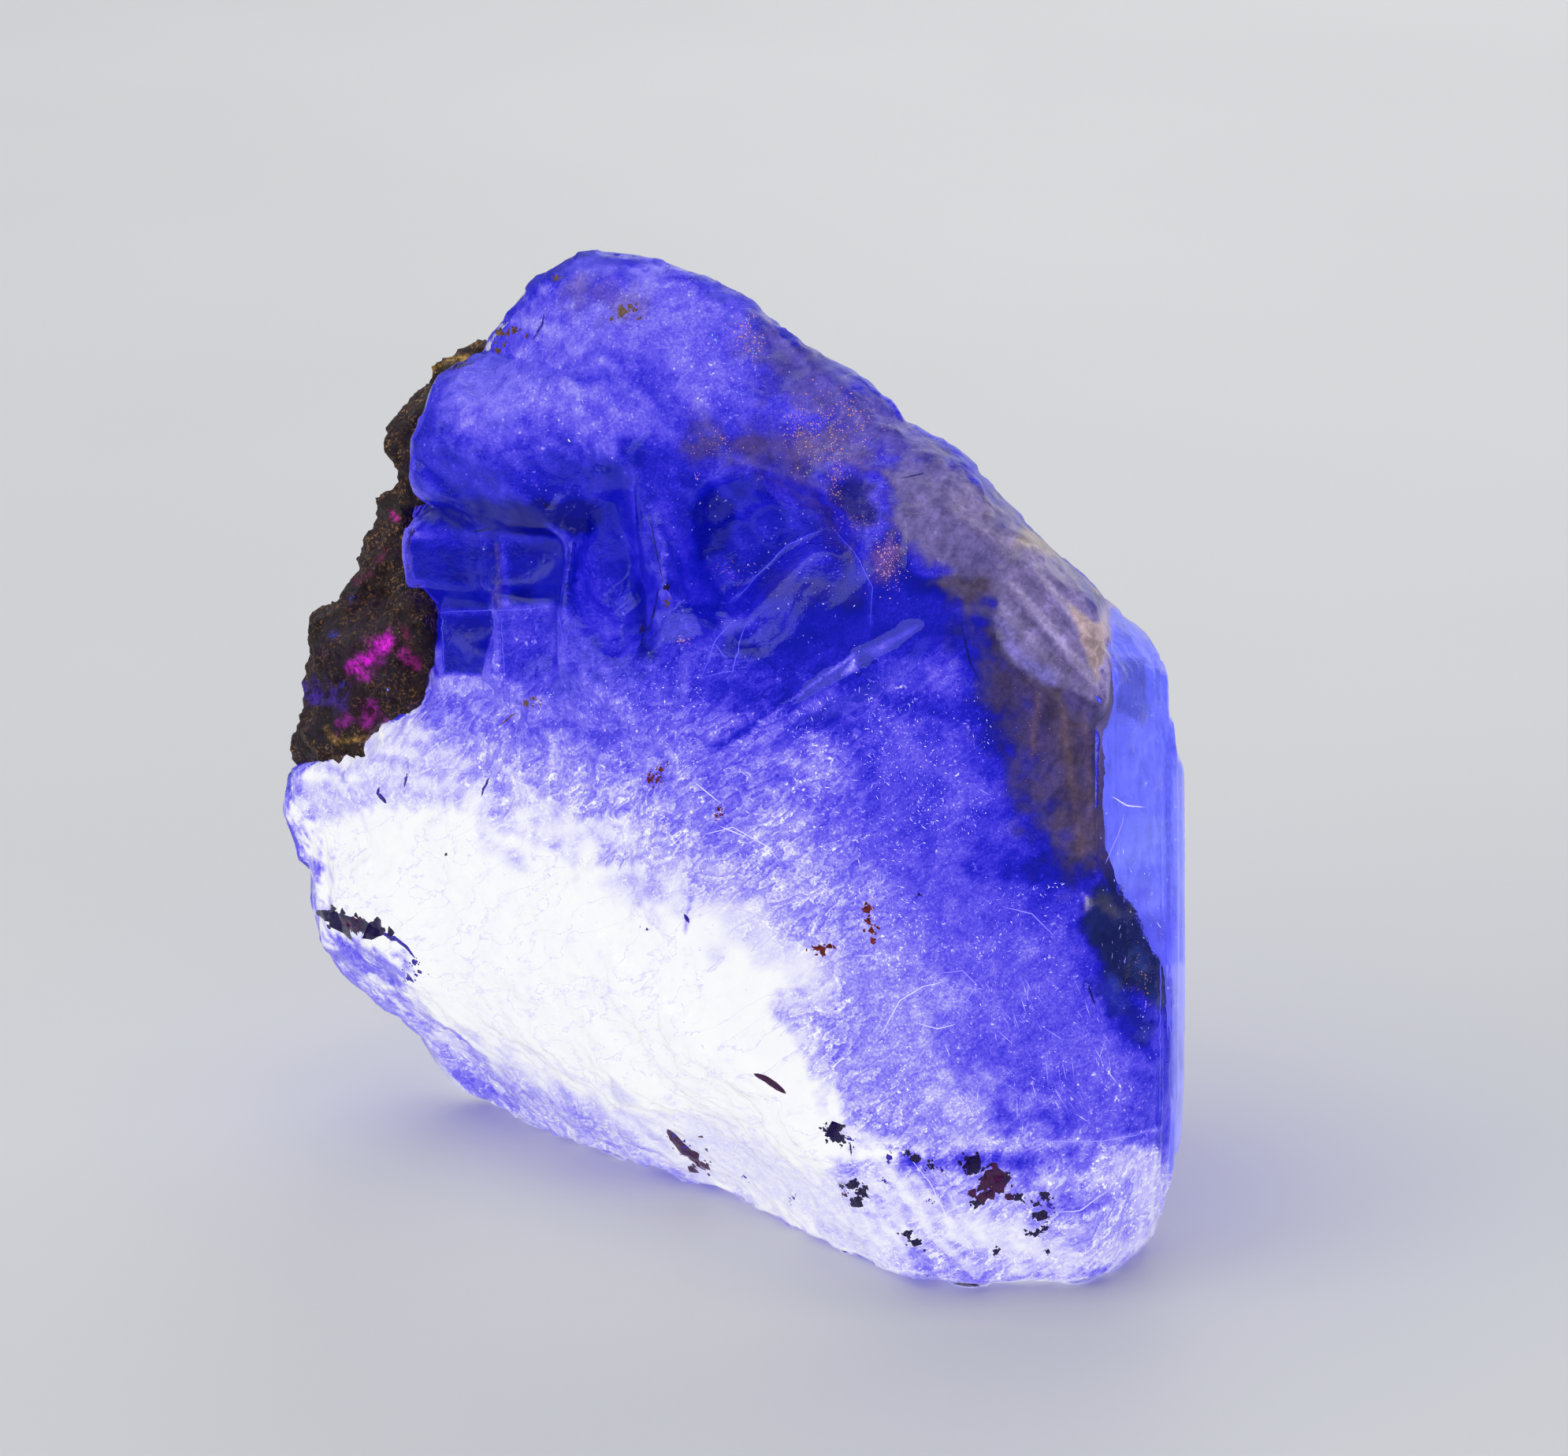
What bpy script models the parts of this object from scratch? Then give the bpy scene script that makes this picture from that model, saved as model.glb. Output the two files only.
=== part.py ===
"""Fluorite on matrix: one large cleaved fluorite crystal, with smaller cubes and stepped ledges grown
onto it, and a crust of dark host rock on its left side and back.

The tables are in millimetres, in the specimen's own frame: +X to the right, +Y away from the viewer and
+Z up, with Z = 0 at the surface that it rests on. Meshes are in metres.
"""

import math

import bmesh
import bpy
from mathutils import Matrix, Vector, noise

MM = 0.001

# Driving dimensions
ORIGIN = (-0.57, 2.49, 0.0)         # the tables' point that becomes the part's origin
FACE_LEAN = math.radians(18.0)      # how far the broad front face leans back
FRONT_FACE_Y = -19.1                # where the front face's plane meets Z = 0
FRONT_FACE_LOW_Z = 9.0              # the lip below this height is broken, not flat
CUBE_FACE_X = 24.2                  # the flat cube face on the right
GROWTH_STEP = 0.28                  # height of one growth layer on the cube face
GROWTH_ROOT = 1.0                   # how deep a growth layer is set into the cube face
CONTACT_GAP = 0.3                   # clearance between the crystal and the rock
CRYSTAL_VOXEL = 0.45
ROCK_VOXEL = 0.55
CRYSTAL_TRIANGLES = 7600
ROCK_TRIANGLES = 2400
CRYSTAL_RELIEF = [(9.0, 0.9), (3.6, 0.45)]  # pairs of lump size and height
ROCK_RELIEF = [(4.0, 1.3), (1.8, 0.8)]
FACE_RELIEF_SHARE = 0.1             # how much of the relief a flat face keeps
RIGHT_SIDE_X = 14.0                 # right of here the surface is smoother
RIGHT_SIDE_RELIEF_SHARE = 0.35
FACE_TOLERANCE = 1.2                # a point this near a flat face's plane is on it

# The lower mass: it rests on its straight front-left edge and curves up to the left like a hull
LOWER_MASS = [
    (12.0, -14.0, -0.8), (19.5, -14.0, -0.8), (22.6, -10.0, -0.8), (22.6, 15.0, -0.8), (17.0, 18.0, -0.8),
    (-8.0, 18.0, -0.8), (-14.2, 13.4, -0.8), (12.0, -14.0, 0.4), (-14.2, 13.4, 0.4),
    (-2.3, -4.5, 3.7), (-17.6, 13.2, 2.6), (-20.4, 13.2, 5.2), (-22.6, 13.2, 7.8), (-24.9, 13.4, 10.3),
    (-21.4, 7.4, 13.0), (-25.0, 13.0, 13.8), (-26.0, 14.0, 19.4), (-25.4, 12.2, 20.8), (-21.7, 8.4, 22.4),
    (-20.2, 6.2, 24.2), (-17.8, 4.8, 27.4), (-14.4, 0.2, 20.6), (-8.4, -6.4, 17.3), (-5.0, -9.9, 15.3),
    (1.0, -14.5, 12.7), (8.0, -16.0, 9.8), (13.9, -16.7, 8.4), (20.2, -15.6, 7.7), (23.6, -12.9, 8.4),
    (12.4, -16.0, 4.6), (19.8, -15.8, 4.0), (23.4, -12.2, 4.4), (24.2, -9.6, 3.0), (24.2, 14.0, 3.4),
    (-23.6, 17.6, 19.4), (-20.0, 18.0, 8.0), (-8.0, 19.0, 20.0), (18.0, 19.5, 20.0),
]

# The main mass: the broad front face, the cube face on the right and the slope up to the peak
MAIN_MASS = [
    (8.0, -16.0, 9.7), (9.2, -16.5, 8.3), (13.9, -16.6, 8.6), (20.3, -15.5, 7.9), (23.8, -13.0, 8.9),
    (24.2, -10.6, 18.3), (20.2, -10.2, 27.1), (20.3, -8.0, 33.6), (10.5, -7.5, 35.9), (6.6, -8.3, 33.7),
    (-1.9, -9.9, 28.3), (-2.1, -12.6, 20.2), (1.0, -14.5, 12.9),
    (-4.6, -6.8, 31.5), (-9.8, -1.8, 30.4), (-16.2, 4.4, 29.0), (-18.0, 6.0, 22.0),
    (24.2, -3.6, 31.8), (23.4, -2.0, 33.2), (22.0, -1.0, 34.2), (24.2, 13.0, 25.6), (24.2, 14.0, 6.0),
    (21.0, 14.0, 28.0), (19.0, 18.0, 22.0), (18.0, 20.0, 8.0), (-14.0, 19.5, 10.0), (-16.6, 17.0, 26.0),
    (16.9, -3.9, 39.1), (13.9, -2.8, 42.0), (10.1, -1.0, 45.4), (5.8, 0.2, 48.6),
    (-15.5, 6.0, 44.0), (-9.0, 15.0, 43.0), (2.6, 14.0, 42.4), (10.0, 13.0, 36.0), (16.0, 12.0, 31.6),
    (-16.0, 13.0, 39.0), (-5.0, 0.5, 46.0),
]

# The rounded peak and the lobe that bulges out under it on the left
PEAK = [
    (-8.0, 5.0, 53.9), (-5.9, 5.0, 53.8), (-2.4, 3.0, 53.7), (0.7, 2.0, 52.5), (3.7, 1.0, 50.5),
    (5.8, 0.2, 49.2), (8.8, -1.0, 46.8), (-9.8, 6.0, 52.9), (-11.6, 7.0, 50.6), (-12.6, 7.4, 49.0),
    (-14.1, 8.0, 47.5), (-7.0, 0.6, 49.0), (-1.0, -1.8, 46.8), (4.0, -2.6, 44.8), (-2.0, -1.4, 42.5),
    (-9.5, 1.6, 45.0), (0.0, 10.0, 46.6), (-8.0, 12.0, 47.0), (-4.0, 8.0, 51.0), (5.0, 8.0, 43.4),
]
LEFT_LOBE = [
    (-16.9, 6.0, 45.9), (-17.6, 4.6, 43.6), (-17.9, 4.6, 40.0), (-15.5, 2.4, 39.4), (-16.0, 3.0, 44.6),
    (-12.8, 0.9, 43.6), (-12.0, 1.2, 40.2), (-9.0, 0.6, 44.5), (-8.6, 1.6, 41.0), (-14.1, 7.6, 47.2),
    (-10.0, 3.0, 47.6), (-8.0, 12.0, 40.0), (-16.0, 12.0, 42.0), (-15.0, 6.0, 38.0), (-9.0, 5.0, 38.4),
]
# The clear zone behind the cube face, with its own rounded top corner
RIGHT_SHOULDER = [
    (18.1, -2.6, 38.0), (19.8, -2.6, 36.4), (21.0, -1.8, 34.9), (22.3, -1.6, 34.4), (23.4, -1.6, 33.3),
    (24.2, -2.8, 31.8), (24.2, 12.0, 26.0), (22.5, 12.0, 28.4), (18.0, 10.0, 32.0), (14.0, 0.0, 36.0),
    (20.0, -6.0, 32.0), (20.0, 12.0, 24.0), (24.2, -4.0, 26.0),
]

# Flat-sided hollows: each is the convex space between an opening and a smaller floor, as (x, z) at a depth y
HOLLOWS = {
    "centre_hollow": (
        (-9.0, [(-5.2, 43.0), (0.4, 48.0), (5.6, 47.0), (9.6, 43.0), (10.6, 39.6), (5.0, 34.8), (-1.0, 32.6),
                (-5.4, 34.0)]),
        (-1.2, [(-1.6, 42.0), (2.0, 42.4), (5.6, 40.6), (4.0, 37.2), (-1.4, 37.4)]),
    ),
    "streaked_hollow": (
        (-8.0, [(-11.0, 41.6), (-8.0, 46.6), (-4.0, 45.0), (-2.6, 34.6), (-5.2, 31.0), (-10.0, 32.0)]),
        (0.4, [(-8.0, 40.6), (-5.8, 41.0), (-5.4, 36.0), (-7.6, 35.6)]),
    ),
    "shelf_under_lobe": (
        (-6.0, [(-21.0, 39.6), (-9.0, 39.2), (-9.0, 30.4), (-21.0, 29.4)]),
        (6.4, [(-19.0, 38.0), (-9.6, 37.8), (-10.0, 33.6), (-19.0, 31.0)]),
    ),
}

# Small crystals: name, centre, size and turn in degrees about X, Y and Z
CUBES = [
    ("upper_cube", (-15.3, 8.4, 35.3), (5.2, 8.0, 4.4), (-12, 3, -8)),
    ("upper_right_cube", (-10.9, 6.6, 35.4), (4.6, 8.0, 4.0), (-14, -3, -16)),
    ("middle_cube", (-14.6, 8.0, 31.0), (3.7, 7.0, 5.0), (-14, 0, -10)),
    ("right_cube", (-10.8, 3.8, 31.5), (4.2, 8.0, 5.6), (-16, 3, -18)),
    ("corner_cube", (-7.0, 3.4, 33.2), (3.2, 8.0, 4.0), (-20, -12, -30)),
]
DOME_CRYSTAL = [
    (0.2, -5.4, 34.6), (1.6, -5.0, 36.6), (3.2, -4.6, 38.6), (5.2, -4.2, 39.6), (7.0, -4.6, 38.4),
    (7.9, -5.2, 36.4), (7.6, -6.6, 34.4), (4.4, -6.6, 36.6), (2.4, -6.4, 34.8), (4.4, 2.0, 38.4),
    (8.4, 1.0, 36.6), (-0.4, 1.0, 34.6), (3.0, -7.8, 32.0), (8.0, -7.2, 32.0),
]
CREST_PLATE = [
    (11.0, -8.0, 36.2), (6.9, -8.9, 34.1), (2.6, -9.4, 31.2), (7.0, -9.4, 32.4), (9.6, -8.8, 34.0),
    (9.4, -3.0, 34.6), (4.0, -3.0, 31.4), (8.0, -6.0, 30.0),
]
GREY_BLOCK = [
    (8.6, -4.0, 38.4), (9.4, -5.0, 41.6), (13.0, -5.2, 41.0), (14.6, -6.0, 38.8), (13.6, -7.4, 36.8),
    (10.0, -7.2, 36.4), (9.0, 2.0, 43.0), (15.0, 0.0, 38.6), (10.0, 0.0, 34.0),
]

# Striated ledges over the front face's upper right corner: where each begins and ends along its own run
LEDGE_SLOPE = math.radians(39.0)
LEDGE_FOOT = 37.1
LEDGE_PITCH = 0.78
LEDGE_OVERLAP = 0.4
LEDGE_STEP_BACK = 0.5
LEDGE_PROUD = 0.9                   # how far the lowest ledge stands in front of the front face
LEDGE_DEPTH = 5.0
LEDGE_RUNS = [(-10.8, -4.2), (-12.2, -4.8), (-13.0, -5.4), (-12.7, -6.2), (-12.0, -7.2)]

# Growth layers on the cube face: outlines as (y, z), each smaller than the one under it
GROWTH_LAYERS = [
    [(-5.2, 29.6), (-10.6, 17.6), (-11.8, 8.6), (-10.0, 4.2), (13.2, 4.6), (12.6, 23.6), (6.0, 26.4)],
    [(-5.4, 27.8), (-9.8, 17.0), (-10.8, 9.4), (-9.2, 5.4), (11.0, 6.2), (10.2, 21.8), (3.4, 25.2)],
    [(-4.6, 27.0), (-8.8, 16.4), (-9.8, 10.0), (-8.4, 6.2), (7.4, 8.0), (6.8, 19.6), (1.0, 24.0)],
]

# The rock: a block low on the left, and lumps that run up and round to the crystal's back
ROCK_CORE = [
    (-25.4, 12.0, 20.8), (-25.2, 12.0, 24.0), (-23.9, 12.0, 30.0), (-22.9, 12.0, 31.0),
    (-17.0, 6.2, 31.6), (-16.6, 5.8, 24.0), (-21.6, 8.0, 22.0), (-20.4, 7.0, 27.0), (-23.0, 9.2, 24.0),
    (-24.0, 18.0, 20.4), (-22.4, 18.4, 29.0), (-16.0, 20.4, 31.0), (-16.0, 20.8, 18.0),
]
ROCK_LUMPS = {
    "rock_middle": [
        (-22.2, 12.0, 31.0), (-21.6, 12.0, 32.4), (-20.2, 11.6, 33.6), (-19.0, 11.0, 36.7),
        (-18.5, 10.6, 38.2), (-15.0, 8.4, 38.2), (-16.0, 8.4, 30.0), (-18.6, 17.6, 35.0),
        (-20.4, 17.6, 30.0), (-13.0, 19.2, 37.0), (-13.0, 20.0, 28.0),
    ],
    "rock_upper": [
        (-18.3, 10.4, 37.4), (-18.5, 10.0, 40.2), (-18.2, 10.0, 42.7), (-16.9, 9.4, 45.6),
        (-15.6, 9.0, 46.8), (-14.2, 9.2, 47.1), (-13.4, 10.0, 47.0), (-15.0, 6.8, 40.0),
        (-16.6, 15.0, 42.6), (-13.0, 15.0, 45.4), (-10.0, 16.6, 43.6), (-12.0, 18.0, 38.0),
    ],
    "rock_back": [
        (-20.0, 16.0, 14.0), (-21.0, 17.0, 24.0), (-15.0, 21.0, 16.0), (-14.0, 21.0, 32.0),
        (-6.0, 20.6, 20.0), (-4.6, 19.8, 32.0), (-9.0, 18.0, 40.0), (-3.0, 16.0, 38.0),
        (-4.0, 14.0, 14.0), (-12.0, 12.0, 40.0),
    ],
}


def new_object(name, bm, collection):
    """Makes an object from a bmesh, which is freed."""
    bmesh.ops.recalc_face_normals(bm, faces=bm.faces)
    mesh = bpy.data.meshes.new(name)
    bm.to_mesh(mesh)
    bm.free()
    obj = bpy.data.objects.new(name, mesh)
    collection.objects.link(obj)
    return obj


def new_collection(name):
    collection = bpy.data.collections.new(name)
    bpy.context.scene.collection.children.link(collection)
    return collection


def hull(name, points, collection):
    """The convex solid round points given in millimetres."""
    bm = bmesh.new()
    for point in points:
        bm.verts.new(Vector(point) * MM)
    made = bmesh.ops.convex_hull(bm, input=bm.verts)
    loose = made["geom_interior"] + made["geom_unused"]
    spare = {item for item in loose if isinstance(item, bmesh.types.BMVert)}
    bmesh.ops.delete(bm, geom=list(spare), context="VERTS")
    return new_object(name, bm, collection)


def block(name, centre, size, turn, collection):
    """A box, turned about its own centre."""
    bm = bmesh.new()
    bmesh.ops.create_cube(bm, size=MM)
    rotation = Matrix.Identity(4)
    for axis, degrees in zip("XYZ", turn):
        rotation = Matrix.Rotation(math.radians(degrees), 4, axis) @ rotation
    place = Matrix.Translation(Vector(centre) * MM) @ rotation @ Matrix.Diagonal((*size, 1.0))
    bmesh.ops.transform(bm, matrix=place, verts=bm.verts)
    return new_object(name, bm, collection)


def settle(obj):
    """Replaces an object's mesh by what its modifiers make of it."""
    graph = bpy.context.evaluated_depsgraph_get()
    mesh = bpy.data.meshes.new_from_object(obj.evaluated_get(graph))
    obj.modifiers.clear()
    obj.data = mesh


def combine(obj, tools, operation):
    """Joins tools to obj, or cuts them out of it."""
    for tool in tools:
        tool.hide_render = True
        tool.display_type = "WIRE"
        modifier = obj.modifiers.new(tool.name, "BOOLEAN")
        modifier.operation = operation
        modifier.object = tool
        modifier.solver = "EXACT"
    settle(obj)


def growth_layers(collection):
    """Thin layers that stand out from the cube face one after another."""
    layers = []
    for count, outline in enumerate(GROWTH_LAYERS, start=1):
        outer_x = CUBE_FACE_X + GROWTH_STEP * count
        points = [(x, y, z) for x in (CUBE_FACE_X - GROWTH_ROOT, outer_x) for y, z in outline]
        layers.append(hull(f"growth_layer_{count}", points, collection))
    return layers


def hollow(name, opening, floor, collection):
    """A convex cutter from an opening in front of the surface down to a smaller floor."""
    points = [(x, depth, z) for depth, outline in (opening, floor) for x, z in outline]
    return hull(name, points, collection)


def striated_ledges(collection):
    """Parallel ledges that run down to the right, each one stepping back from the one below it."""
    cosine, sine = math.cos(LEDGE_SLOPE), math.sin(LEDGE_SLOPE)
    ledges = []
    for step, run in enumerate(LEDGE_RUNS):
        foot = LEDGE_FOOT + LEDGE_PITCH * step
        points = []
        for along in run:
            for across in (foot - LEDGE_OVERLAP, foot + LEDGE_PITCH):
                x, z = along * cosine + across * sine, across * cosine - along * sine
                front = front_face_y(z) - LEDGE_PROUD + LEDGE_STEP_BACK * step
                points += [(x, front, z), (x, front + LEDGE_DEPTH, z)]
        ledges.append(hull(f"ledge_{step}", points, collection))
    return ledges


def front_face_y(z):
    return FRONT_FACE_Y + math.tan(FACE_LEAN) * z


def resting_cut(collection):
    """A slab under Z = 0, which leaves the flat patch that the specimen rests on."""
    width, thickness = 80.0, 10.0
    centre = (0.0, 0.0, -thickness / 2)
    return block("resting_cut", centre, (width, width, thickness), (0, 0, 0), collection)


def roughness_at(point):
    """How much of the relief a point takes: little on crystal faces, all of it on the left and the peak."""
    x, y, z = point
    on_front = abs(y - front_face_y(z)) < FACE_TOLERANCE and z > FRONT_FACE_LOW_Z
    if on_front or x > CUBE_FACE_X - FACE_TOLERANCE / 2:
        return FACE_RELIEF_SHARE
    return RIGHT_SIDE_RELIEF_SHARE if x > RIGHT_SIDE_X else 1.0


def sculpt(obj, relief):
    """Moves each vertex along its normal by noise: relief holds (size of a lump, height) pairs."""
    mesh = obj.data
    normals = [vertex.normal.copy() for vertex in mesh.vertices]
    for vertex, normal in zip(mesh.vertices, normals):
        point = vertex.co / MM
        height = 0.0
        for size, amount in relief:
            height += amount * noise.noise(point / size, noise_basis="PERLIN_ORIGINAL")
        vertex.co += normal * (height * roughness_at(point) * MM)
    mesh.update()


def remesh(obj, voxel):
    modifier = obj.modifiers.new("Remesh", "REMESH")
    modifier.mode = "VOXEL"
    modifier.voxel_size = voxel * MM
    settle(obj)


def thin_out(obj, triangles):
    """Leaves about that many triangles, and keeps the ridges."""
    modifier = obj.modifiers.new("Decimate", "DECIMATE")
    modifier.use_collapse_triangulate = True
    obj.data.calc_loop_triangles()
    modifier.ratio = triangles / len(obj.data.loop_triangles)
    settle(obj)


def keep_largest(obj):
    """Drops loose crumbs that a cut leaves."""
    bm = bmesh.new()
    bm.from_mesh(obj.data)
    left = set(bm.verts)
    islands = []
    while left:
        found = {left.pop()}
        front = list(found)
        while front:
            vertex = front.pop()
            for edge in vertex.link_edges:
                other = edge.other_vert(vertex)
                if other not in found:
                    found.add(other)
                    front.append(other)
        left -= found
        islands.append(found)
    islands.sort(key=len)
    for island in islands[:-1]:
        bmesh.ops.delete(bm, geom=list(island), context="VERTS")
    bm.to_mesh(obj.data)
    bm.free()


def material(name, colour, roughness):
    made = bpy.data.materials.new(name)
    made.use_nodes = True
    shader = made.node_tree.nodes["Principled BSDF"]
    shader.inputs["Base Color"].default_value = (*colour, 1.0)
    shader.inputs["Roughness"].default_value = roughness
    shader.inputs["Metallic"].default_value = 0.0
    return made


def make_crystal(parts, tools):
    crystal = hull("fluorite", MAIN_MASS, parts)
    masses = {
        "lower_mass": LOWER_MASS,
        "peak": PEAK,
        "left_lobe": LEFT_LOBE,
        "right_shoulder": RIGHT_SHOULDER,
    }
    combine(crystal, [hull(name, points, tools) for name, points in masses.items()], "UNION")
    hollows = [hollow(name, opening, floor, tools) for name, (opening, floor) in HOLLOWS.items()]
    combine(crystal, hollows, "DIFFERENCE")
    grown = [block(name, centre, size, turn, tools) for name, centre, size, turn in CUBES]
    grown += [
        hull("dome_crystal", DOME_CRYSTAL, tools),
        hull("crest_plate", CREST_PLATE, tools),
        hull("grey_block", GREY_BLOCK, tools),
    ]
    grown += growth_layers(tools) + striated_ledges(tools)
    combine(crystal, grown, "UNION")
    remesh(crystal, CRYSTAL_VOXEL)
    sculpt(crystal, CRYSTAL_RELIEF)
    thin_out(crystal, CRYSTAL_TRIANGLES)
    combine(crystal, [resting_cut(tools)], "DIFFERENCE")
    crystal.data.materials.append(material("fluorite", (0.10, 0.08, 0.85), 0.15))
    return crystal


def swollen_copy(obj, gap, collection):
    """A copy of obj with its surface moved out by gap, for cutting a neighbour back from it."""
    copy = bpy.data.objects.new(obj.name + "_swollen", obj.data.copy())
    collection.objects.link(copy)
    normals = [vertex.normal.copy() for vertex in copy.data.vertices]
    for vertex, normal in zip(copy.data.vertices, normals):
        vertex.co += normal * (gap * MM)
    return copy


def make_rock(crystal, parts, tools):
    rock = hull("matrix_rock", ROCK_CORE, parts)
    combine(rock, [hull(name, points, tools) for name, points in ROCK_LUMPS.items()], "UNION")
    remesh(rock, ROCK_VOXEL)
    sculpt(rock, ROCK_RELIEF)
    thin_out(rock, ROCK_TRIANGLES)
    combine(rock, [swollen_copy(crystal, CONTACT_GAP, tools)], "DIFFERENCE")
    keep_largest(rock)
    rock.data.materials.append(material("matrix_rock", (0.09, 0.05, 0.03), 0.85))
    return rock


def main():
    for obj in list(bpy.data.objects):
        bpy.data.objects.remove(obj)
    parts = new_collection("fluorite_on_matrix")
    tools = new_collection("cutters")
    crystal = make_crystal(parts, tools)
    rock = make_rock(crystal, parts, tools)
    for piece in (crystal, rock):
        piece.data.transform(Matrix.Translation(Vector(ORIGIN) * -MM))
    tools.hide_render = True


main()
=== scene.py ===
"""The looks of the fluorite on matrix: a clear, partly milky crystal that glows blue under ultraviolet
light, with a brown growth zone, fractures, white flecks and dark grains in it, and a crust of host rock.

A place on the front is given as a pixel of the photograph, 1990 by 1848, and is cast from the camera
onto the surface. Other lengths are in millimetres. Meshes are in metres, in the row frame. A row of a
table reads: label = settings: places, and each place reads: x,y or x,y,size or x,y,width,height.
"""

import math
from collections import namedtuple

import bmesh
import bpy
import numpy as np
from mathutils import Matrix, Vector, kdtree, noise
from mathutils.bvhtree import BVHTree


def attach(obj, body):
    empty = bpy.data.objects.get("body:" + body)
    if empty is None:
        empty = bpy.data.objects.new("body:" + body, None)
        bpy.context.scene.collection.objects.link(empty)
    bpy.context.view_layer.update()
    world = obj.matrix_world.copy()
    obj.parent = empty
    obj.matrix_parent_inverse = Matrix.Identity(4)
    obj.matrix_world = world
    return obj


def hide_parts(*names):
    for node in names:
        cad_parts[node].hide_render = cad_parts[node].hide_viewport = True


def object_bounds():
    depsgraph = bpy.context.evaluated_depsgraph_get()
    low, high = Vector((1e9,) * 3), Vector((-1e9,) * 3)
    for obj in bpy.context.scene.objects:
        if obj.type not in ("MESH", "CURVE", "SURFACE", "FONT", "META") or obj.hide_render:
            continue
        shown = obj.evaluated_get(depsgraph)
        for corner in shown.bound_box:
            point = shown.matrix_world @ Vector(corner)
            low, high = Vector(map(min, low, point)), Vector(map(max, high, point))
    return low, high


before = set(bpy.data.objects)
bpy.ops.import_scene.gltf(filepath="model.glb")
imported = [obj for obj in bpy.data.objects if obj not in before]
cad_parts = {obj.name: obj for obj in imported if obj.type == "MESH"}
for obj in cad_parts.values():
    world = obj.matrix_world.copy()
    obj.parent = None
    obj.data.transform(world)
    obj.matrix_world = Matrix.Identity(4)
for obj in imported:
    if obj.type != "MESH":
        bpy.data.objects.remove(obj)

CAD_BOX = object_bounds()
MM = 0.001

# The camera that took the photograph
PHOTO_WIDTH, PHOTO_HEIGHT = 1990, 1848
PIXELS_PER_MM = 22.84
CAMERA_ELEVATION = math.radians(18.0)
CAMERA_DISTANCE = 339.0
CAMERA_TARGET = np.array((3.59, -2.49, 27.6))
SENSOR_WIDTH = 36.0
CAMERA_RIGHT = np.array((1.0, 0.0, 0.0))
CAMERA_UP = np.array((0.0, math.sin(CAMERA_ELEVATION), math.cos(CAMERA_ELEVATION)))
CAMERA_BACK = np.array((0.0, -math.cos(CAMERA_ELEVATION), math.sin(CAMERA_ELEVATION)))
CAMERA_EYE = CAMERA_TARGET + CAMERA_BACK * CAMERA_DISTANCE

# The crystal's own axes: the cube face on the right, the broad front face, and the one above both
CUBE_AXES = np.array((CAMERA_RIGHT, CAMERA_BACK, CAMERA_UP))
CUBE_FACE_X = 24.77

# Where the milky inside ends and the clear outer zone begins, as (pixel row, X)
CLEAR_ZONE_EDGE = ((1085, 20.4), (1120, 20.9), (1200, 23.3), (1240, 23.95))

FRONT_FACE_Y = -21.59               # where the front face's plane meets Z = 0
FRONT_FACE_LOW_Z = 9.3
FLUORITE_IOR = 1.434
ABSORPTION_DENSITY = 60.0           # for each metre
LIP_STEP = 1.15                     # from one shell-like step of the broken lip to the next
LEDGE_STEP = 0.55                   # and of the striated ledges
OUTER_GLOW_DEPTH = 2.2              # behind the front face
CRYSTAL_VOXEL = 0.25
CRYSTAL_TRIANGLES = 196000
CORE_VOXEL = 0.22
CORE_TRIANGLES = 190000
ROCK_VOXEL = 0.2
FLOOR_REACH = 2.5                   # in metres, from the middle to each side
SEED = 2024

Layer = namedtuple("Layer", "corners reach softness value strength")


def pixels(text):
    """The places that a text lists."""
    return [tuple(map(float, place.split(","))) for place in text.split()]


def rows(table):
    """The rows of a table, each as its label, its list of settings and its places."""
    found = []
    for row in table.strip().splitlines():
        head, _, places = row.partition(":")
        label, _, settings = head.partition(" = ")
        found.append((label, settings.split(), pixels(places)))
    return found


def layers(table):
    """Layers by name. Their settings are reach, softness, value and strength, of which the last two may be
    left out. The reach - stands for a closed patch.
    """
    found = {}
    for name, settings, corners in rows(table):
        reach, softness, value, strength = (settings + ["1", "1"])[:4]
        reach = None if reach == "-" else float(reach)
        found[name] = Layer(corners, reach, float(softness), value, float(strength))
    return found


BLACK = (0.0, 0.0, 0.0, 1.0)

# The host rock from dark to light, as (share, sRGB colour)
ROCK_COLOURS = [(0.28, "050204"), (0.42, "170a12"), (0.54, "26131c"), (0.66, "38241d"), (0.82, "5c4428")]

# The fluorescence from weak to strong, as (share, sRGB colour)
FLUORESCENCE = [
    (0.0, "040778"), (0.12, "0a11ae"), (0.3, "2420cf"), (0.45, "4339e1"), (0.6, "6457f0"),
    (0.72, "8479f6"), (0.82, "a39bfa"), (0.9, "c5bffc"), (0.96, "e5e3fe"), (1.0, "ffffff"),
]

# How the milky glow falls off from its brightest band: distance in pixels, share
GLOW_BAND = pixels("365,1010 430,1075 520,1130 640,1190 780,1250 900,1310 1010,1390 1080,1450")
GLOW_FALL = [
    (0, 1.03), (110, 1.0), (150, 0.95), (195, 0.88), (240, 0.81), (290, 0.7), (345, 0.55), (400, 0.4),
    (460, 0.29), (600, 0.22),
]

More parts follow.
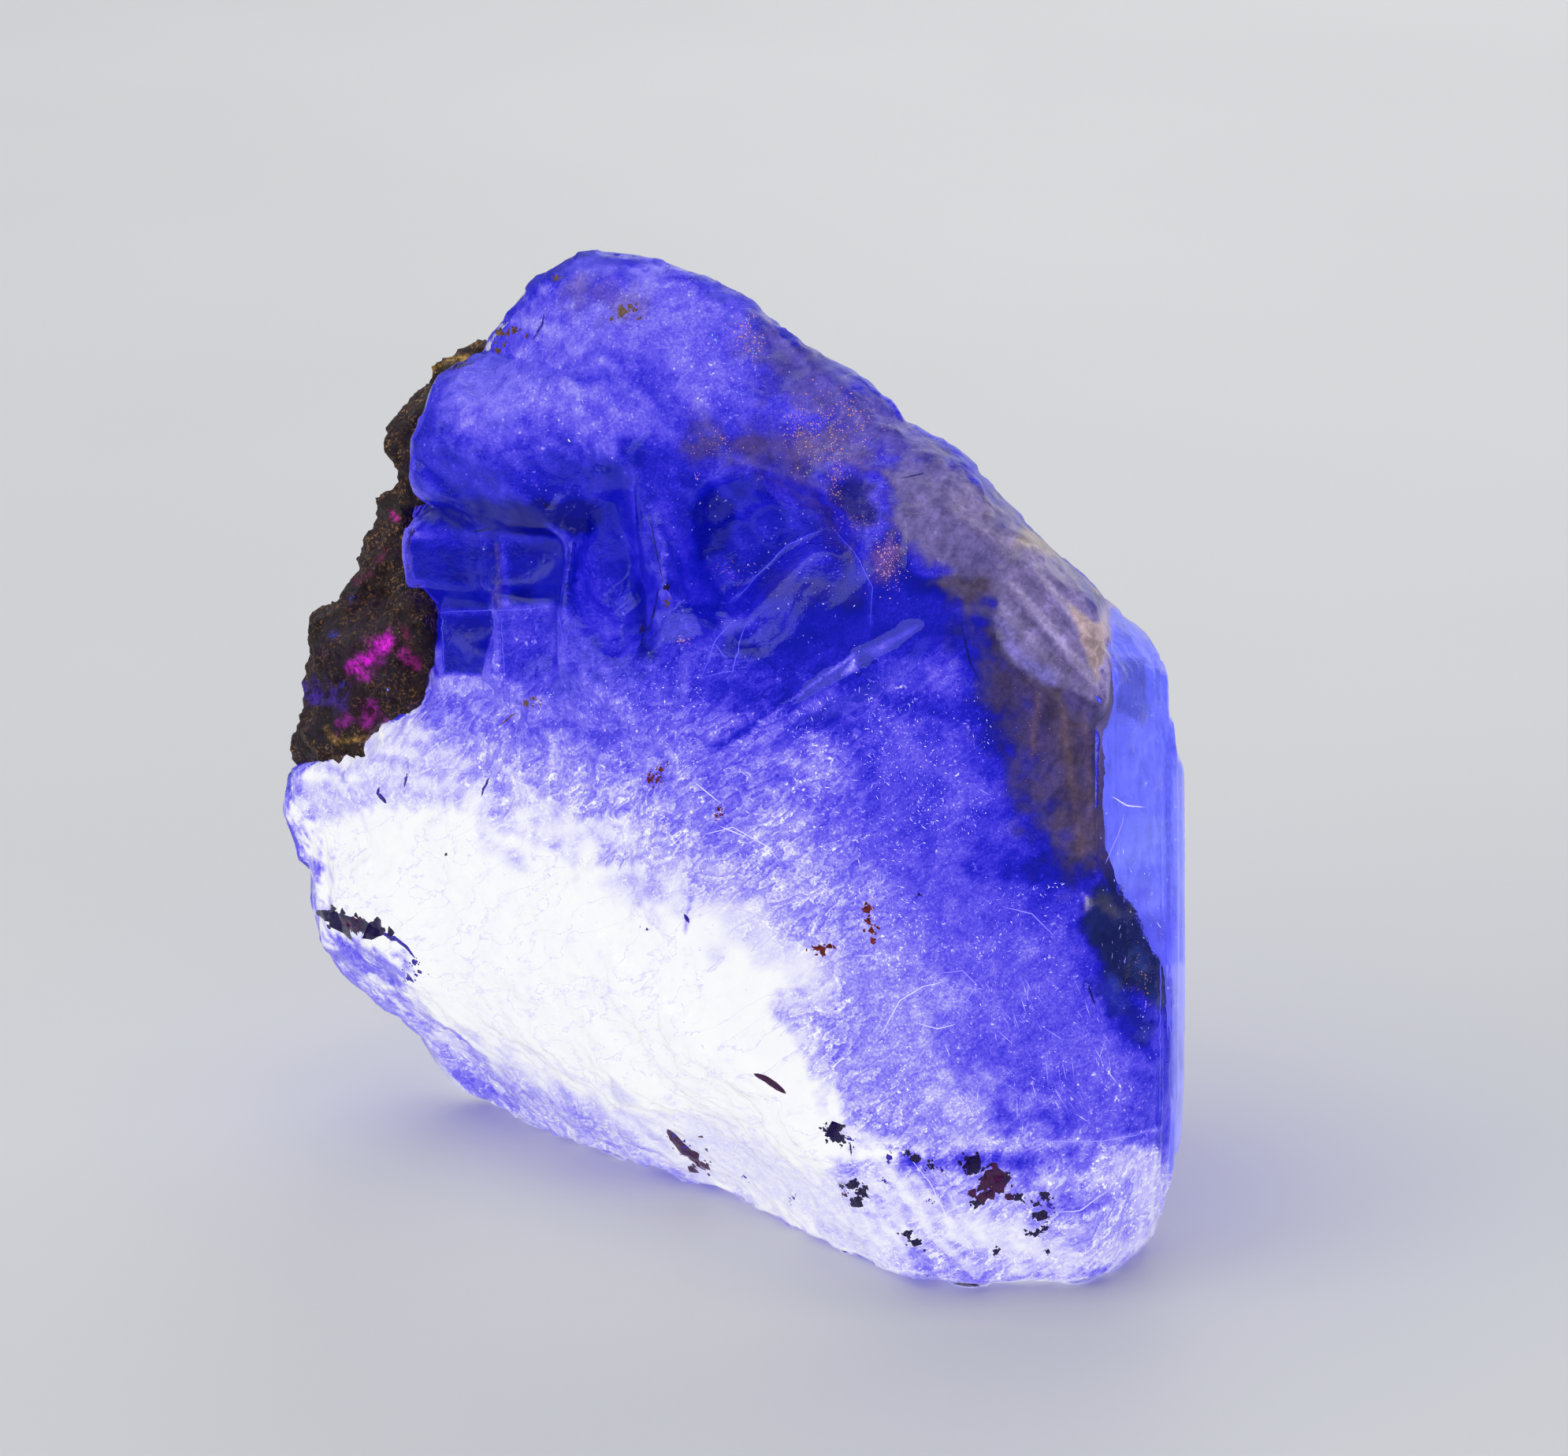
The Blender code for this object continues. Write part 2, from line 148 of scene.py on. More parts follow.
# Shares of glow laid over the fall-off: reach and softness in pixels, share.
# The low shares in the hollows, folds, gap and valley, on and over the cubes, under the lobe and on the
# facet's dark side are painted shade; the higher shares along the crests, the cube edges and the facet's
# outline and top are painted highlights.
GLOW_LAYERS = layers("""
upper body = 95 90 0.5: 640,500 800,430 920,520 1080,560 1200,660
peak = 56 70 0.7: 700,430 745,400 860,400 900,450
left lobe = 42 55 0.66: 625,520 770,520
lobe heart = 16 40 0.74: 655,510 760,500
lobe edge = 8 22 0.14: 600,440 548,480 528,560 530,640
upper left edge = 12 26 0.27: 610,430 655,375 700,325 790,318 880,332
right slope edge = 12 36 0.3: 880,335 1010,425 1130,510 1250,630
peak shoulder = 26 50 0.58: 930,430 990,500 1060,520 1100,570
shadow under the lobe = 20 20 0.03: 545,645 650,655 745,652
shadow over the cubes = 10 10 0.0: 660,667 740,668
left cube = - 12 0.13: 500,690 630,682 636,776 510,776
left cube top = 5 10 0.3: 540,690 618,690
upper cube = - 12 0.12: 645,690 725,682 730,720 722,770 650,770
beside the cubes = 12 20 0.36: 755,720 765,790
cubes' ledge = 3 6 0.42: 556,776 628,775 705,768
square cube = - 7 0.13: 562,780 626,780 626,856 566,854
square cube side = 2 5 0.4: 557,780 561,856
right cube = - 8 0.43: 634,772 706,768 716,845 690,866 640,868
right cube edge = 2 4 0.56: 633,775 638,866
foot of the cubes = 18 30 0.42: 730,800 780,850 700,880
streaked fold = 14 24 0.36: 832,590 838,690 852,800
dark fold = 9 15 0.17: 776,600 782,690 812,780
fold crest = 3 8 0.42: 806,600 815,700
dark fissure = 8 14 0.06: 815,745 825,830
deep hollow = - 30 0.14: 885,612 960,600 1045,615 1062,672 1000,697 935,760 892,730
hollow's heart = 10 40 0.05: 880,650 950,640 1000,660
hollow's haze = 22 36 0.42: 985,610 1000,650
hollow's left facet = - 9 0.05: 872,648 900,614 932,638 918,700 884,716
hollow's middle facet = - 9 0.22: 932,638 966,614 1000,652 984,694 938,724
hollow's right facet = - 12 0.42: 970,612 1030,604 1054,662 1006,652
hollow's lower facet = - 9 0.24: 884,716 918,700 938,728 920,772 890,776
hollow's dark seam = 1.5 6 0.02: 932,640 920,698 938,726
hollow's second seam = 1.5 6 0.1: 966,614 1000,652 986,692
streaked fold's right = 8 20 0.36: 868,700 876,770
dark gap = 14 22 0.08: 1135,695 1160,745 1235,748
rounded facet = - 10 0.24: 928,768 1000,692 1052,668 1082,700 1106,745 1104,795 1000,806
facet's top = 14 22 0.36: 1010,720 1050,700
facet's dark side = 12 18 0.13: 1020,780 1085,775
facet's outline = 1.5 5 0.48: 928,768 1000,692 1052,668 1082,700 1106,745 1104,795
valley = 14 26 0.14: 880,780 960,830 1060,800
splinter glow = 8 14 0.42: 880,850 915,800 945,785
slope under the cubes = 26 44 0.56: 690,910 860,880
middle slope = 16 50 0.7: 560,905 700,910 860,915 960,930
middle slope's right = 26 60 0.81: 930,985 1000,960 1060,985
face's bright left = 34 90 0.88: 990,1060 1060,1150
face's bright middle = 20 80 0.82: 1080,1120 1130,1190 1185,1195
left shoulder top = 14 24 0.72: 540,880 620,900
left shoulder = 34 40 0.94: 400,1010 560,980
violet slope = 14 40 0.87: 720,1000 830,1020
violet shade = 8 36 0.72: 800,940 860,1000
violet band = - 22 0.3: 1000,876 1088,826 1072,850 950,935 905,955
front face = 50 80 0.61: 1130,950 1210,1000
front face top = 22 40 0.53: 1130,860 1210,860
front face shade = 16 50 0.54: 1180,1000 1190,1070
front face right = 26 60 0.28: 1285,850 1305,960 1345,1060
face above the cleft = 20 70 0.6: 1200,1060 1260,1040
face under the cleft = 44 60 0.64: 1210,1190 1280,1230 1330,1320
face's left foot = - 90 0.84: 1010,1290 1060,1400 1112,1450 1210,1456 1240,1400 1190,1290 1100,1230
face foot = 50 60 0.64: 1240,1320 1390,1370
face foot shade = 16 60 0.5: 1280,1415 1350,1412
bright patch = 12 26 0.9: 1180,1392 1240,1408
dark zone = 15 24 0.24: 1290,1095 1385,1112
dark zone's tail = 20 34 0.2: 1385,1170 1410,1240 1440,1300
triangle facet = - 4 0.85: 1372,1132 1395,1145 1378,1160
lip's ground = - 26 0.88: 1060,1468 1200,1466 1440,1450 1495,1500 1465,1595 1340,1625 1200,1615 \
    1040,1560
lip = 24 40 0.97: 1130,1490 1180,1540 1330,1590
lip's inside = - 13 0.66: 1275,1462 1400,1455 1436,1462 1434,1500 1375,1540 1310,1528
lip's right = 22 40 0.93: 1330,1500 1440,1480 1470,1530
lip's foot = 14 40 0.94: 1230,1605 1370,1615 1460,1560
lip's tail = 34 50 0.97: 900,1440 1010,1500 1120,1560
left rim = 10 64 0.62: 360,985 362,1050 386,1120 392,1190 442,1243
lower rim = 14 84 0.68: 442,1243 490,1298 550,1352 630,1404
shade under the left grain = 10 40 0.64: 438,1204 505,1234
shade under the face edge = 7 24 0.5: 1150,1476 1300,1478
lower rim's tail = 1 24 0.82: 630,1404 690,1428 780,1468 870,1498 940,1538
cleavage highlight = - 6 0.86: 1087,834 1090,852 1068,862
violet triangle = - 8 0.56: 1098,828 1176,790 1150,812 1110,836
crest = 1.5 6 0.84: 1086,832 1030,872 960,925 880,985
crest's lower glow = 8 22 0.72: 1060,870 960,950 900,1000
crease = 1.5 7 0.86: 884,985 877,1040 881,1110 872,1180
face edge = 1.5 6 0.84: 1115,1452 1150,1460 1205,1461 1260,1455 1330,1450 1398,1449 1463,1433
""")

# Colours laid over the glow: reach and softness in pixels, sRGB colour, strength. The dark pool is
# painted shade in a hollow.
TINT_LAYERS = layers("""
brown growth veil = 12 70 2a2a86 0.85: 1275,860 1300,960 1335,1060 1370,1100
brown growth top = 12 50 49427f 0.8: 1225,790 1262,850
brown growth zone = - 70 433866 0.94: 1236,762 1300,745 1430,790 1430,1060 1396,1112 1358,1098 \
    1312,1020 1280,950 1256,860
brown growth heart = 14 50 4d3f56 0.85: 1330,860 1360,960 1375,1060
brown growth stain = 12 30 3b3350 0.8: 1250,780 1290,830
brown growth stripe = 2 10 6f5550 0.6: 1318,880 1308,965
warm streak = 2 12 6b5563 0.7: 1346,880 1360,1000 1372,1080
second warm streak = 2 12 5f4c62 0.7: 1376,900 1386,1050
cube's pink edge = 2 7 7c62b4 0.7: 631,690 636,772
facet's dust = 14 40 3d35a4 0.5: 985,740 1040,745 1080,760
pink patch = - 20 6e4ea8 0.85: 1106,700 1128,682 1150,690 1146,728 1124,742 1108,728
brown dust = 16 56 4a397e 0.7: 900,556 960,572 1010,596 1048,640 1066,690
grey slope = - 36 736897 0.9: 1120,600 1190,575 1290,665 1340,700 1290,760 1205,745 1140,690
grey slope top = 34 60 6054a4 0.75: 990,430 1060,510 1160,565
grey slope light = 14 26 8578a4 0.7: 1215,640 1290,700
brown hollow = 8 22 453a52 0.85: 1195,735 1250,745 1225,765
striated ledges = - 7 7f72a8 0.95: 1272,731 1314,695 1352,724 1407,808 1399,899 1346,866 1294,847 \
    1262,799
ledge's violet foot = 9 14 6f66b8 0.8: 1266,790 1300,838 1335,856
striation = 5 6 a094c2 0.85: 1284,742 1392,872
second striation = 4 5 a79bc4 0.8: 1312,722 1400,830
third striation = 3 5 988cc0 0.8: 1270,768 1346,858
striation shade = 2 5 64588c 0.8: 1300,730 1400,850
second striation shade = 2 5 665a94 0.8: 1278,755 1372,866
peach facet = - 6 b39c9c 0.85: 1352,762 1405,808 1400,893 1384,850
tan edge = 9 14 a3938c 0.85: 1300,688 1345,708 1385,750
brown haze = 14 34 554392 0.75: 885,565 1010,560
violet haze = 20 40 675696 0.8: 1030,560 1090,590
pink peak = 14 40 7a5ad2 0.6: 740,370 800,385
dark pool = - 14 0b0e6c 0.8: 1056,624 1070,605 1092,604 1114,616 1106,634 1126,650 1104,668 1074,648
green pocket = - 20 121d4c 0.92: 1385,1108 1432,1135 1475,1210 1482,1290 1405,1240 1372,1180
green pocket's brown = 8 16 3a3850 0.85: 1398,1140 1412,1156
green pocket's facet = 7 14 20347c 0.8: 1440,1210 1462,1270
green pocket's foot = 10 26 2a35a8 0.6: 1400,1250 1450,1310
""")


def linear(code):
    """An sRGB colour code as a linear RGBA colour."""
    shares = [int(code[n:n + 2], 16) / 255 for n in (0, 2, 4)]
    return (*[s / 12.92 if s <= 0.04045 else ((s + 0.055) / 1.055) ** 2.4 for s in shares], 1.0)


def soft_step(values, low, high):
    t = np.clip((values - low) / (high - low), 0, 1)
    return t * t * (3 - 2 * t)


def noise_at(points, size, seed=0.0, stretch=(1.0, 1.0, 1.0)):
    """Smooth noise from about -1 to 1 at each point, with lumps of that size in millimetres."""
    places = np.asarray(points) * np.array(stretch) / size + np.array((17.3, -9.1, 5.7)) * seed
    return np.array([noise.noise(place) for place in places.tolist()]) * 1.6


def project(points):
    """The photograph's pixel of each point, and its distance from the camera."""
    rays = points - CAMERA_EYE
    depth = -rays @ CAMERA_BACK
    scale = CAMERA_DISTANCE / depth * PIXELS_PER_MM
    return PHOTO_WIDTH / 2 + rays @ CAMERA_RIGHT * scale, PHOTO_HEIGHT / 2 - rays @ CAMERA_UP * scale, depth


def cast(pixel, tree):
    """The point and normal, in millimetres, where a pixel of the photograph meets a surface."""
    across = (pixel[0] - PHOTO_WIDTH / 2) / PIXELS_PER_MM
    above = (PHOTO_HEIGHT / 2 - pixel[1]) / PIXELS_PER_MM
    ray = CAMERA_TARGET + CAMERA_RIGHT * across + CAMERA_UP * above - CAMERA_EYE
    ray /= np.linalg.norm(ray)
    point, normal, _, _ = tree.ray_cast(Vector(CAMERA_EYE * MM), Vector(ray))
    if point is None:
        point, normal, _, _ = tree.find_nearest(Vector((CAMERA_EYE + ray * CAMERA_DISTANCE) * MM))
    return np.array(point) / MM, np.array(normal)


def distance_to_line(x, y, corners, closed=False):
    """How far each pixel is from a line of corners, and below zero inside a closed one."""
    ends = list(zip(corners, corners[1:] + corners[:1])) if closed else list(zip(corners, corners[1:]))
    nearest = np.full(len(x), 1e9)
    inside = np.zeros(len(x), dtype=bool)
    for (x0, y0), (x1, y1) in ends:
        along_x, along_y = x1 - x0, y1 - y0
        share = ((x - x0) * along_x + (y - y0) * along_y) / (along_x ** 2 + along_y ** 2 + 1e-9)
        share = np.clip(share, 0, 1)
        nearest = np.minimum(nearest, np.hypot(x - x0 - share * along_x, y - y0 - share * along_y))
        if y0 != y1:
            inside ^= ((y0 > y) != (y1 > y)) & (x < x0 + (y - y0) * along_x / along_y)
    return np.where(inside, -nearest, nearest) if closed else nearest


def add_object(name, mesh):
    obj = bpy.data.objects.new(name, mesh)
    bpy.context.scene.collection.objects.link(obj)
    return obj


def settle(obj):
    """Replaces an object's mesh by what its modifiers make of it."""
    graph = bpy.context.evaluated_depsgraph_get()
    mesh = bpy.data.meshes.new_from_object(obj.evaluated_get(graph))
    obj.modifiers.clear()
    obj.data = mesh


def voxel_remesh(obj, voxel):
    """Replaces an object's mesh by one even mesh with edges of that length in millimetres."""
    modifier = obj.modifiers.new("Remesh", "REMESH")
    modifier.mode = "VOXEL"
    modifier.voxel_size = voxel * MM
    settle(obj)


def fine_mesh(obj, voxel, triangles):
    """An even mesh that stays fine where the photograph's camera sees it and is thinned out elsewhere."""
    voxel_remesh(obj, voxel)
    hidden = 1.0 - Surface(obj).in_view()
    group = obj.vertex_groups.new(name="hidden")
    for index in np.flatnonzero(hidden > 0.9).tolist():
        group.add([index], 1.0, "REPLACE")
    modifier = obj.modifiers.new("Thin", "DECIMATE")
    modifier.ratio = min(1.0, triangles / (2 * len(obj.data.polygons)))
    modifier.vertex_group = group.name
    settle(obj)
    obj.vertex_groups.clear()


def bvh(obj):
    return BVHTree.FromObject(obj, bpy.context.evaluated_depsgraph_get())


class Surface:
    """The vertices of a mesh as arrays in millimetres, with smoothing, relief and attributes."""

    def __init__(self, obj):
        self.obj = obj
        mesh = obj.data
        self.points = np.empty(len(mesh.vertices) * 3)
        mesh.vertices.foreach_get("co", self.points)
        self.points = self.points.reshape(-1, 3) / MM
        edges = np.empty(len(mesh.edges) * 2, dtype=np.int64)
        mesh.edges.foreach_get("vertices", edges)
        self.edges = edges.reshape(-1, 2)
        self.degree = np.maximum(np.bincount(edges, minlength=len(self.points)), 1)

    def neighbour_mean(self, values):
        first, second = self.edges.T
        values = values.reshape(len(values), -1)
        total = np.empty_like(values)
        for axis in range(values.shape[1]):
            total[:, axis] = np.bincount(first, values[second, axis], minlength=len(values))
            total[:, axis] += np.bincount(second, values[first, axis], minlength=len(values))
        return total / self.degree[:, None]

    def smooth(self, share, times):
        """Moves each point towards its neighbours' middle: share is one number, or one for each point."""
        share = np.broadcast_to(share, len(self.points))[:, None]
        for _ in range(times):
            self.points += share * (self.neighbour_mean(self.points) - self.points)

    def blurred(self, values, times):
        for _ in range(times):
            values = 0.5 * values + 0.5 * self.neighbour_mean(values)[:, 0]
        return values

    def write(self):
        """Sends the points back to the mesh, none of them outside the CAD model's box."""
        self.points = np.clip(self.points, *[np.array(corner) / MM for corner in CAD_BOX])
        self.obj.data.vertices.foreach_set("co", (self.points * MM).ravel())
        self.obj.data.update()

    def normals(self):
        self.write()
        found = np.empty(len(self.points) * 3)
        self.obj.data.vertices.foreach_get("normal", found)
        return found.reshape(-1, 3)

    def lift(self, heights):
        self.points += self.normals() * np.broadcast_to(heights, len(self.points))[:, None]

    def store(self, name, values):
        """Keeps one number or one RGBA colour for each point as an attribute."""
        kind = "FLOAT" if values.ndim == 1 else "FLOAT_COLOR"
        layer = self.obj.data.attributes.new(name, kind, "POINT")
        layer.data.foreach_set("value" if kind == "FLOAT" else "color", values.astype(np.float32).ravel())

    def in_view(self):
        """1 where the photograph's camera sees a point, 0 where it doesn't, blurred between the two."""
        self.write()
        tree = bvh(self.obj)
        facing = (self.normals() @ CAMERA_BACK) > 0.0
        seen = facing.astype(float)
        for index in np.flatnonzero(facing):
            ray = CAMERA_EYE - self.points[index]
            ray /= np.linalg.norm(ray)
            if tree.ray_cast(Vector((self.points[index] + ray * 0.6) * MM), Vector(ray))[0] is not None:
                seen[index] = 0.0
        return soft_step(self.blurred(seen, 14), 0.0, 0.5)

    def facet(self, count, where, seed, limit, tilt=0.1):
        """Flattens the surface into count faces, along the crystal's own planes where one is near."""
        cell, _, rng = nearest_seed(self.points, count, seed)
        normals = self.normals()
        amount = np.maximum(np.bincount(cell, minlength=count), 1)[:, None]
        middle = np.column_stack([np.bincount(cell, column, count) for column in self.points.T]) / amount
        facing = np.column_stack([np.bincount(cell, column, count) for column in normals.T]) / amount
        planes = crystal_planes()
        fit = facing @ planes.T
        near = 0.9 * (fit.max(axis=1) > 0.8)
        facing += planes[fit.argmax(axis=1)] * near[:, None] + rng.normal(0, tilt, (count, 3))
        facing /= np.linalg.norm(facing, axis=1)[:, None] + 1e-9
        height = np.einsum("ij,ij->i", self.points - middle[cell], facing[cell])
        self.points -= facing[cell] * (np.clip(height, -limit, limit) * where)[:, None]


def crystal_planes():
    """The directions of the crystal's cube faces and of its octahedral cleavage."""
    signs = [(a, b, c) for a in (-1, 1) for b in (-1, 1) for c in (-1, 1)]
    cleavage = np.array(signs) @ CUBE_AXES / math.sqrt(3)
    return np.vstack((CUBE_AXES, -CUBE_AXES, cleavage))


def nearest_seed(points, count, seed):
    """For each point, the number of the nearest of count random seeds among them, and the offset from it."""
    rng = np.random.default_rng(seed)
    seeds = points[rng.choice(len(points), count, replace=False)] + rng.normal(0, 0.4, (count, 3))
    tree = kdtree.KDTree(count)
    for number, place in enumerate(seeds):
        tree.insert(place, number)
    tree.balance()
    found = np.array([tree.find(place)[1] for place in points.tolist()])
    return found, points - seeds[found], rng


def facets(points, count, seed):
    """A value from about -1 to 1 for each point, flat or gently sloped in each of count cells."""
    cell, offset, rng = nearest_seed(points, count, seed)
    level = rng.uniform(-0.75, 0.75, count)
    slope = rng.normal(0, 0.22, (count, 3))
    return level[cell] + np.clip(np.einsum("ij,ij->i", offset, slope[cell]), -0.5, 0.5)


def front_face_distance(points):
    """How far each point is behind the plane of the broad front face."""
    lean = math.tan(CAMERA_ELEVATION)
    return (points[:, 1] - FRONT_FACE_Y - lean * points[:, 2]) * math.cos(CAMERA_ELEVATION)


def flat_faces(points):
    """True on the broad front face and on the cube face."""
    on_front = (np.abs(front_face_distance(points)) < 0.7) & (points[:, 2] > FRONT_FACE_LOW_Z)
    return on_front | (points[:, 0] > CUBE_FACE_X - 0.8)


def clear_zone_x(y):
    """Where the clear outer zone begins, at each pixel row of the photograph."""
    pixel_rows, edge = zip(*CLEAR_ZONE_EDGE)
    return np.interp(y, pixel_rows, edge)


def cover(x, y, layer, wobble=0.0):
    """How much a layer covers each pixel, from 0 to 1, with an edge that wobbles less where it is crisp."""
    closed = layer.reach is None
    roughness = min(layer.softness, 60.0) * (0.25 if layer.softness < 14 else 1.0)
    distance = distance_to_line(x, y, layer.corners, closed) + wobble * roughness
    reach = 0.0 if closed else layer.reach
    return 1.0 - soft_step(distance, reach - layer.softness * 0.5, reach + layer.softness * 0.5)


def lay_colours(tint, table, x, y, wobble, seen=1.0, shade=1.0):
    """Lays the colours of a table's layers over the RGBA tints."""
    for layer in table.values():
        weight = (layer.strength * cover(x, y, layer, wobble) * seen)[:, None]
        colour = np.array(linear(layer.value)[:3]) * np.reshape(shade, (-1, 1))
        tint[:, :3] += weight * (np.clip(colour, 0.002, 1) - tint[:, :3])
        tint[:, 3:] += weight * (1 - tint[:, 3:])


# Patches of the front with a relief of their own: softness in pixels
RELIEF_PATCHES = layers("""
smooth face = - 90: 1120,900 1240,880 1480,1100 1480,1430 1180,1440 1080,1300
stepped lip = - 30: 1120,1465 1200,1470 1260,1600 1180,1615 1100,1570
""")

# Crystal faces on the front that keep their edges: softness in pixels
CRISP_FACES = layers("""
cubes = - 16: 488,668 720,668 735,860 700,880 550,868 488,760
rounded facet = - 16: 915,770 1000,680 1060,655 1120,700 1118,800 1000,815
crest = - 14: 870,985 960,918 1090,825 1190,780 1230,800 1240,830 1095,860 900,1010
ledges = - 14: 1262,740 1330,712 1410,780 1410,900 1330,865 1265,810
""")


def paint(surface, seen, painted_shading_share):
    """Works out the glow and the tint at each point, and stores them as attributes."""
    points = surface.points
    x, y, _ = project(points)
    wobble = 0.26 * noise_at(points, 1.9, 11) + 0.22 * noise_at(points, 0.8, 12)
    wobble += 0.16 * noise_at(points, 0.4, 13)
    distance, share = zip(*GLOW_FALL)
    from_band = distance_to_line(x, y, GLOW_BAND) + 26 * noise_at(points, 1.6, 14)
    from_band += 22 * noise_at(points, 4.0, 15)
    front = np.interp(from_band, distance, share)
    for layer in GLOW_LAYERS.values():
        weight = cover(x, y, layer, wobble)
        front += weight * (float(layer.value) - front)
    # Out of the photograph's sight the glow is guessed: pale below, blue above
    height = points @ CAMERA_UP
    around = 0.42 + 0.5 * soft_step(height, 26.0, 2.0) + 0.2 * noise_at(points, 7.0, 16)
    glow = around + seen * (front - around)

    normals = surface.normals()
    smooth_normals = normals.copy()
    for _ in range(10):
        smooth_normals = 0.4 * smooth_normals + 0.6 * surface.neighbour_mean(smooth_normals)
    # Painted shading of the fine relief, as if lit from below, from the front and from the left
    below = np.array((-0.45, -0.35, -0.82))
    lit = (normals - smooth_normals) @ below
    middle = 4 * glow * (1 - glow)
    # Painted highlights on convex edges and painted shade in concave ones
    outward = np.einsum("ij,ij->i", points - surface.neighbour_mean(points), normals)
    edge = np.clip(surface.blurred(outward, 2), -0.05, 0.05) * 20
    # Brighter and darker facets: painted reflections off inner fracture faces
    cells = facets(points, 1100, 41) * 0.6 + facets(points, 5200, 42) * 0.4
    glow += painted_shading_share * lit * (0.2 + middle)
    glow += 0.14 * edge * middle
    glow += 0.15 * cells * middle * (1.15 - glow)
    tint = np.zeros((len(points), 4))
    # The tints too are lightened and darkened by the painted relief shading and facet reflections
    lay_colours(tint, TINT_LAYERS, x, y, wobble, seen, 1 + 0.35 * cells + 1.2 * lit)
    surface.store("glow", np.clip(glow, 0, 1))
    face = 1 - 0.72 * cover(x, y, RELIEF_PATCHES["smooth face"], wobble)
    surface.store("broken", 0.3 + 0.7 * soft_step(y + 40 * wobble, 760, 900) * face)
    surface.store("tint", tint)


def make_crystal():
    """The clear outside, with chipped, fractured relief on all but the flat crystal faces."""
    crystal = add_object("crystal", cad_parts["fluorite"].data.copy())
    crystal.data.materials.clear()
    fine_mesh(crystal, CRYSTAL_VOXEL, CRYSTAL_TRIANGLES)
    surface = Surface(crystal)
    seen = surface.in_view()
    points = surface.points
    x, y, _ = project(points)
    flat = surface.blurred(flat_faces(points).astype(float), 3)
    crisp = np.max([cover(x, y, layer) for layer in CRISP_FACES.values()], axis=0) * seen
    still = np.maximum(flat, crisp)
    surface.smooth(0.5 - 0.3 * still, 7)
    right = soft_step(points[:, 0], 12.0, 19.0)
    rough = (1.0 - flat) * (1.0 - 0.85 * crisp) * (1.0 - 0.55 * right)
    surface.lift(rough * (0.14 * noise_at(points, 3.2, 1) + 0.06))
    surface.facet(900, 0.9 * rough, seed=5, limit=0.5)
    surface.smooth(0.35 * rough, 1)
    surface.facet(3600, 0.7 * rough, seed=6, limit=0.25, tilt=0.14)
    surface.smooth(0.4 * rough, 1)
    surface.lift(rough * 0.02 * noise_at(points, 0.6, 8, (1.0, 1.0, 1.6)))
    lip = cover(x, y, RELIEF_PATCHES["stepped lip"])
    steps = (points @ np.array((0.8, -0.2, 0.55))) / LIP_STEP + 0.3 * noise_at(points, 3.0, 9)
    surface.lift(-0.3 * lip * seen * (steps - np.floor(steps)))
    ledges = cover(x, y, TINT_LAYERS["striated ledges"]) * seen
    steps = (points @ np.array((0.62, 0.0, 0.78))) / LEDGE_STEP
    surface.lift(-0.16 * ledges * (steps - np.floor(steps)))
    outer = soft_step(points[:, 0], CUBE_FACE_X - 1.6, CUBE_FACE_X - 0.6) * seen
    surface.lift(-0.1 * outer * (np.sin(points[:, 0] * 14.0) > 0.3))
    surface.write()
    return crystal, surface, seen


# How deep the milky inside lies below the surface: reach and softness in pixels, depth
CORE_DEPTHS = layers("""
milky = 120 90 0.34: 380,1060 560,1150 780,1250 960,1400 1100,1520 1300,1570
front face = - 80 1.1: 1110,900 1250,900 1350,1100 1350,1350 1150,1380 1040,1150
""")


def make_core(crystal, seen):
    """The milky inside: the crystal's form drawn in, and cut off flat where the clear outer zone begins."""
    core = add_object("glowing_milky_core", crystal.obj.data.copy())
    surface = Surface(core)
    x, y, _ = project(surface.points)
    depth = 0.46 + 0.1 * noise_at(surface.points, 4.0, 21)
    for layer in CORE_DEPTHS.values():
        depth += seen * cover(x, y, layer) * (float(layer.value) - depth)
    surface.smooth(0.4, 2)
    surface.lift(-depth)
    surface.points[:, 0] = np.minimum(surface.points[:, 0], clear_zone_x(y))
    surface.points[:, 2] = np.maximum(surface.points[:, 2], 0.4)
    surface.write()
    fine_mesh(core, CORE_VOXEL, CORE_TRIANGLES)
    surface = Surface(core)
    surface.smooth(0.3, 1)
    x, y, _ = project(surface.points)
    surface.points[:, 0] = np.minimum(surface.points[:, 0], clear_zone_x(y))
    surface.write()
    return core, surface


def make_outer_glow(crystal):
    """The faint glow inside the clear outer zone, a little behind its faces."""
    glow = add_object("outer_zone_glow", crystal.obj.data.copy())
    surface = Surface(glow)
    surface.smooth(0.5, 12)
    behind = OUTER_GLOW_DEPTH - front_face_distance(surface.points)
    surface.lift(-0.75)
    surface.points[:, 1] += np.maximum(behind, 0) * 0.8
    edge = clear_zone_x(project(surface.points)[1]) + 0.15
    spare_points = surface.points[:, 0] < edge + 0.01
    surface.points[:, 0] = np.maximum(surface.points[:, 0], edge)
    surface.points[:, 2] = np.maximum(surface.points[:, 2], 0.7)
    surface.write()
    bm = bmesh.new()
    bm.from_mesh(glow.data)
    bm.verts.ensure_lookup_table()
    bmesh.ops.delete(bm, geom=[bm.verts[n] for n in np.flatnonzero(spare_points).tolist()], context="VERTS")
    bmesh.ops.holes_fill(bm, edges=[e for e in bm.edges if e.is_boundary], sides=0)
    bmesh.ops.triangulate(bm, faces=[f for f in bm.faces if len(f.verts) > 4])
    bmesh.ops.recalc_face_normals(bm, faces=bm.faces)
    bm.to_mesh(glow.data)
    bm.free()
    voxel_remesh(glow, 0.3)
    surface = Surface(glow)
    surface.smooth(0.5, 6)
    surface.write()
    return glow


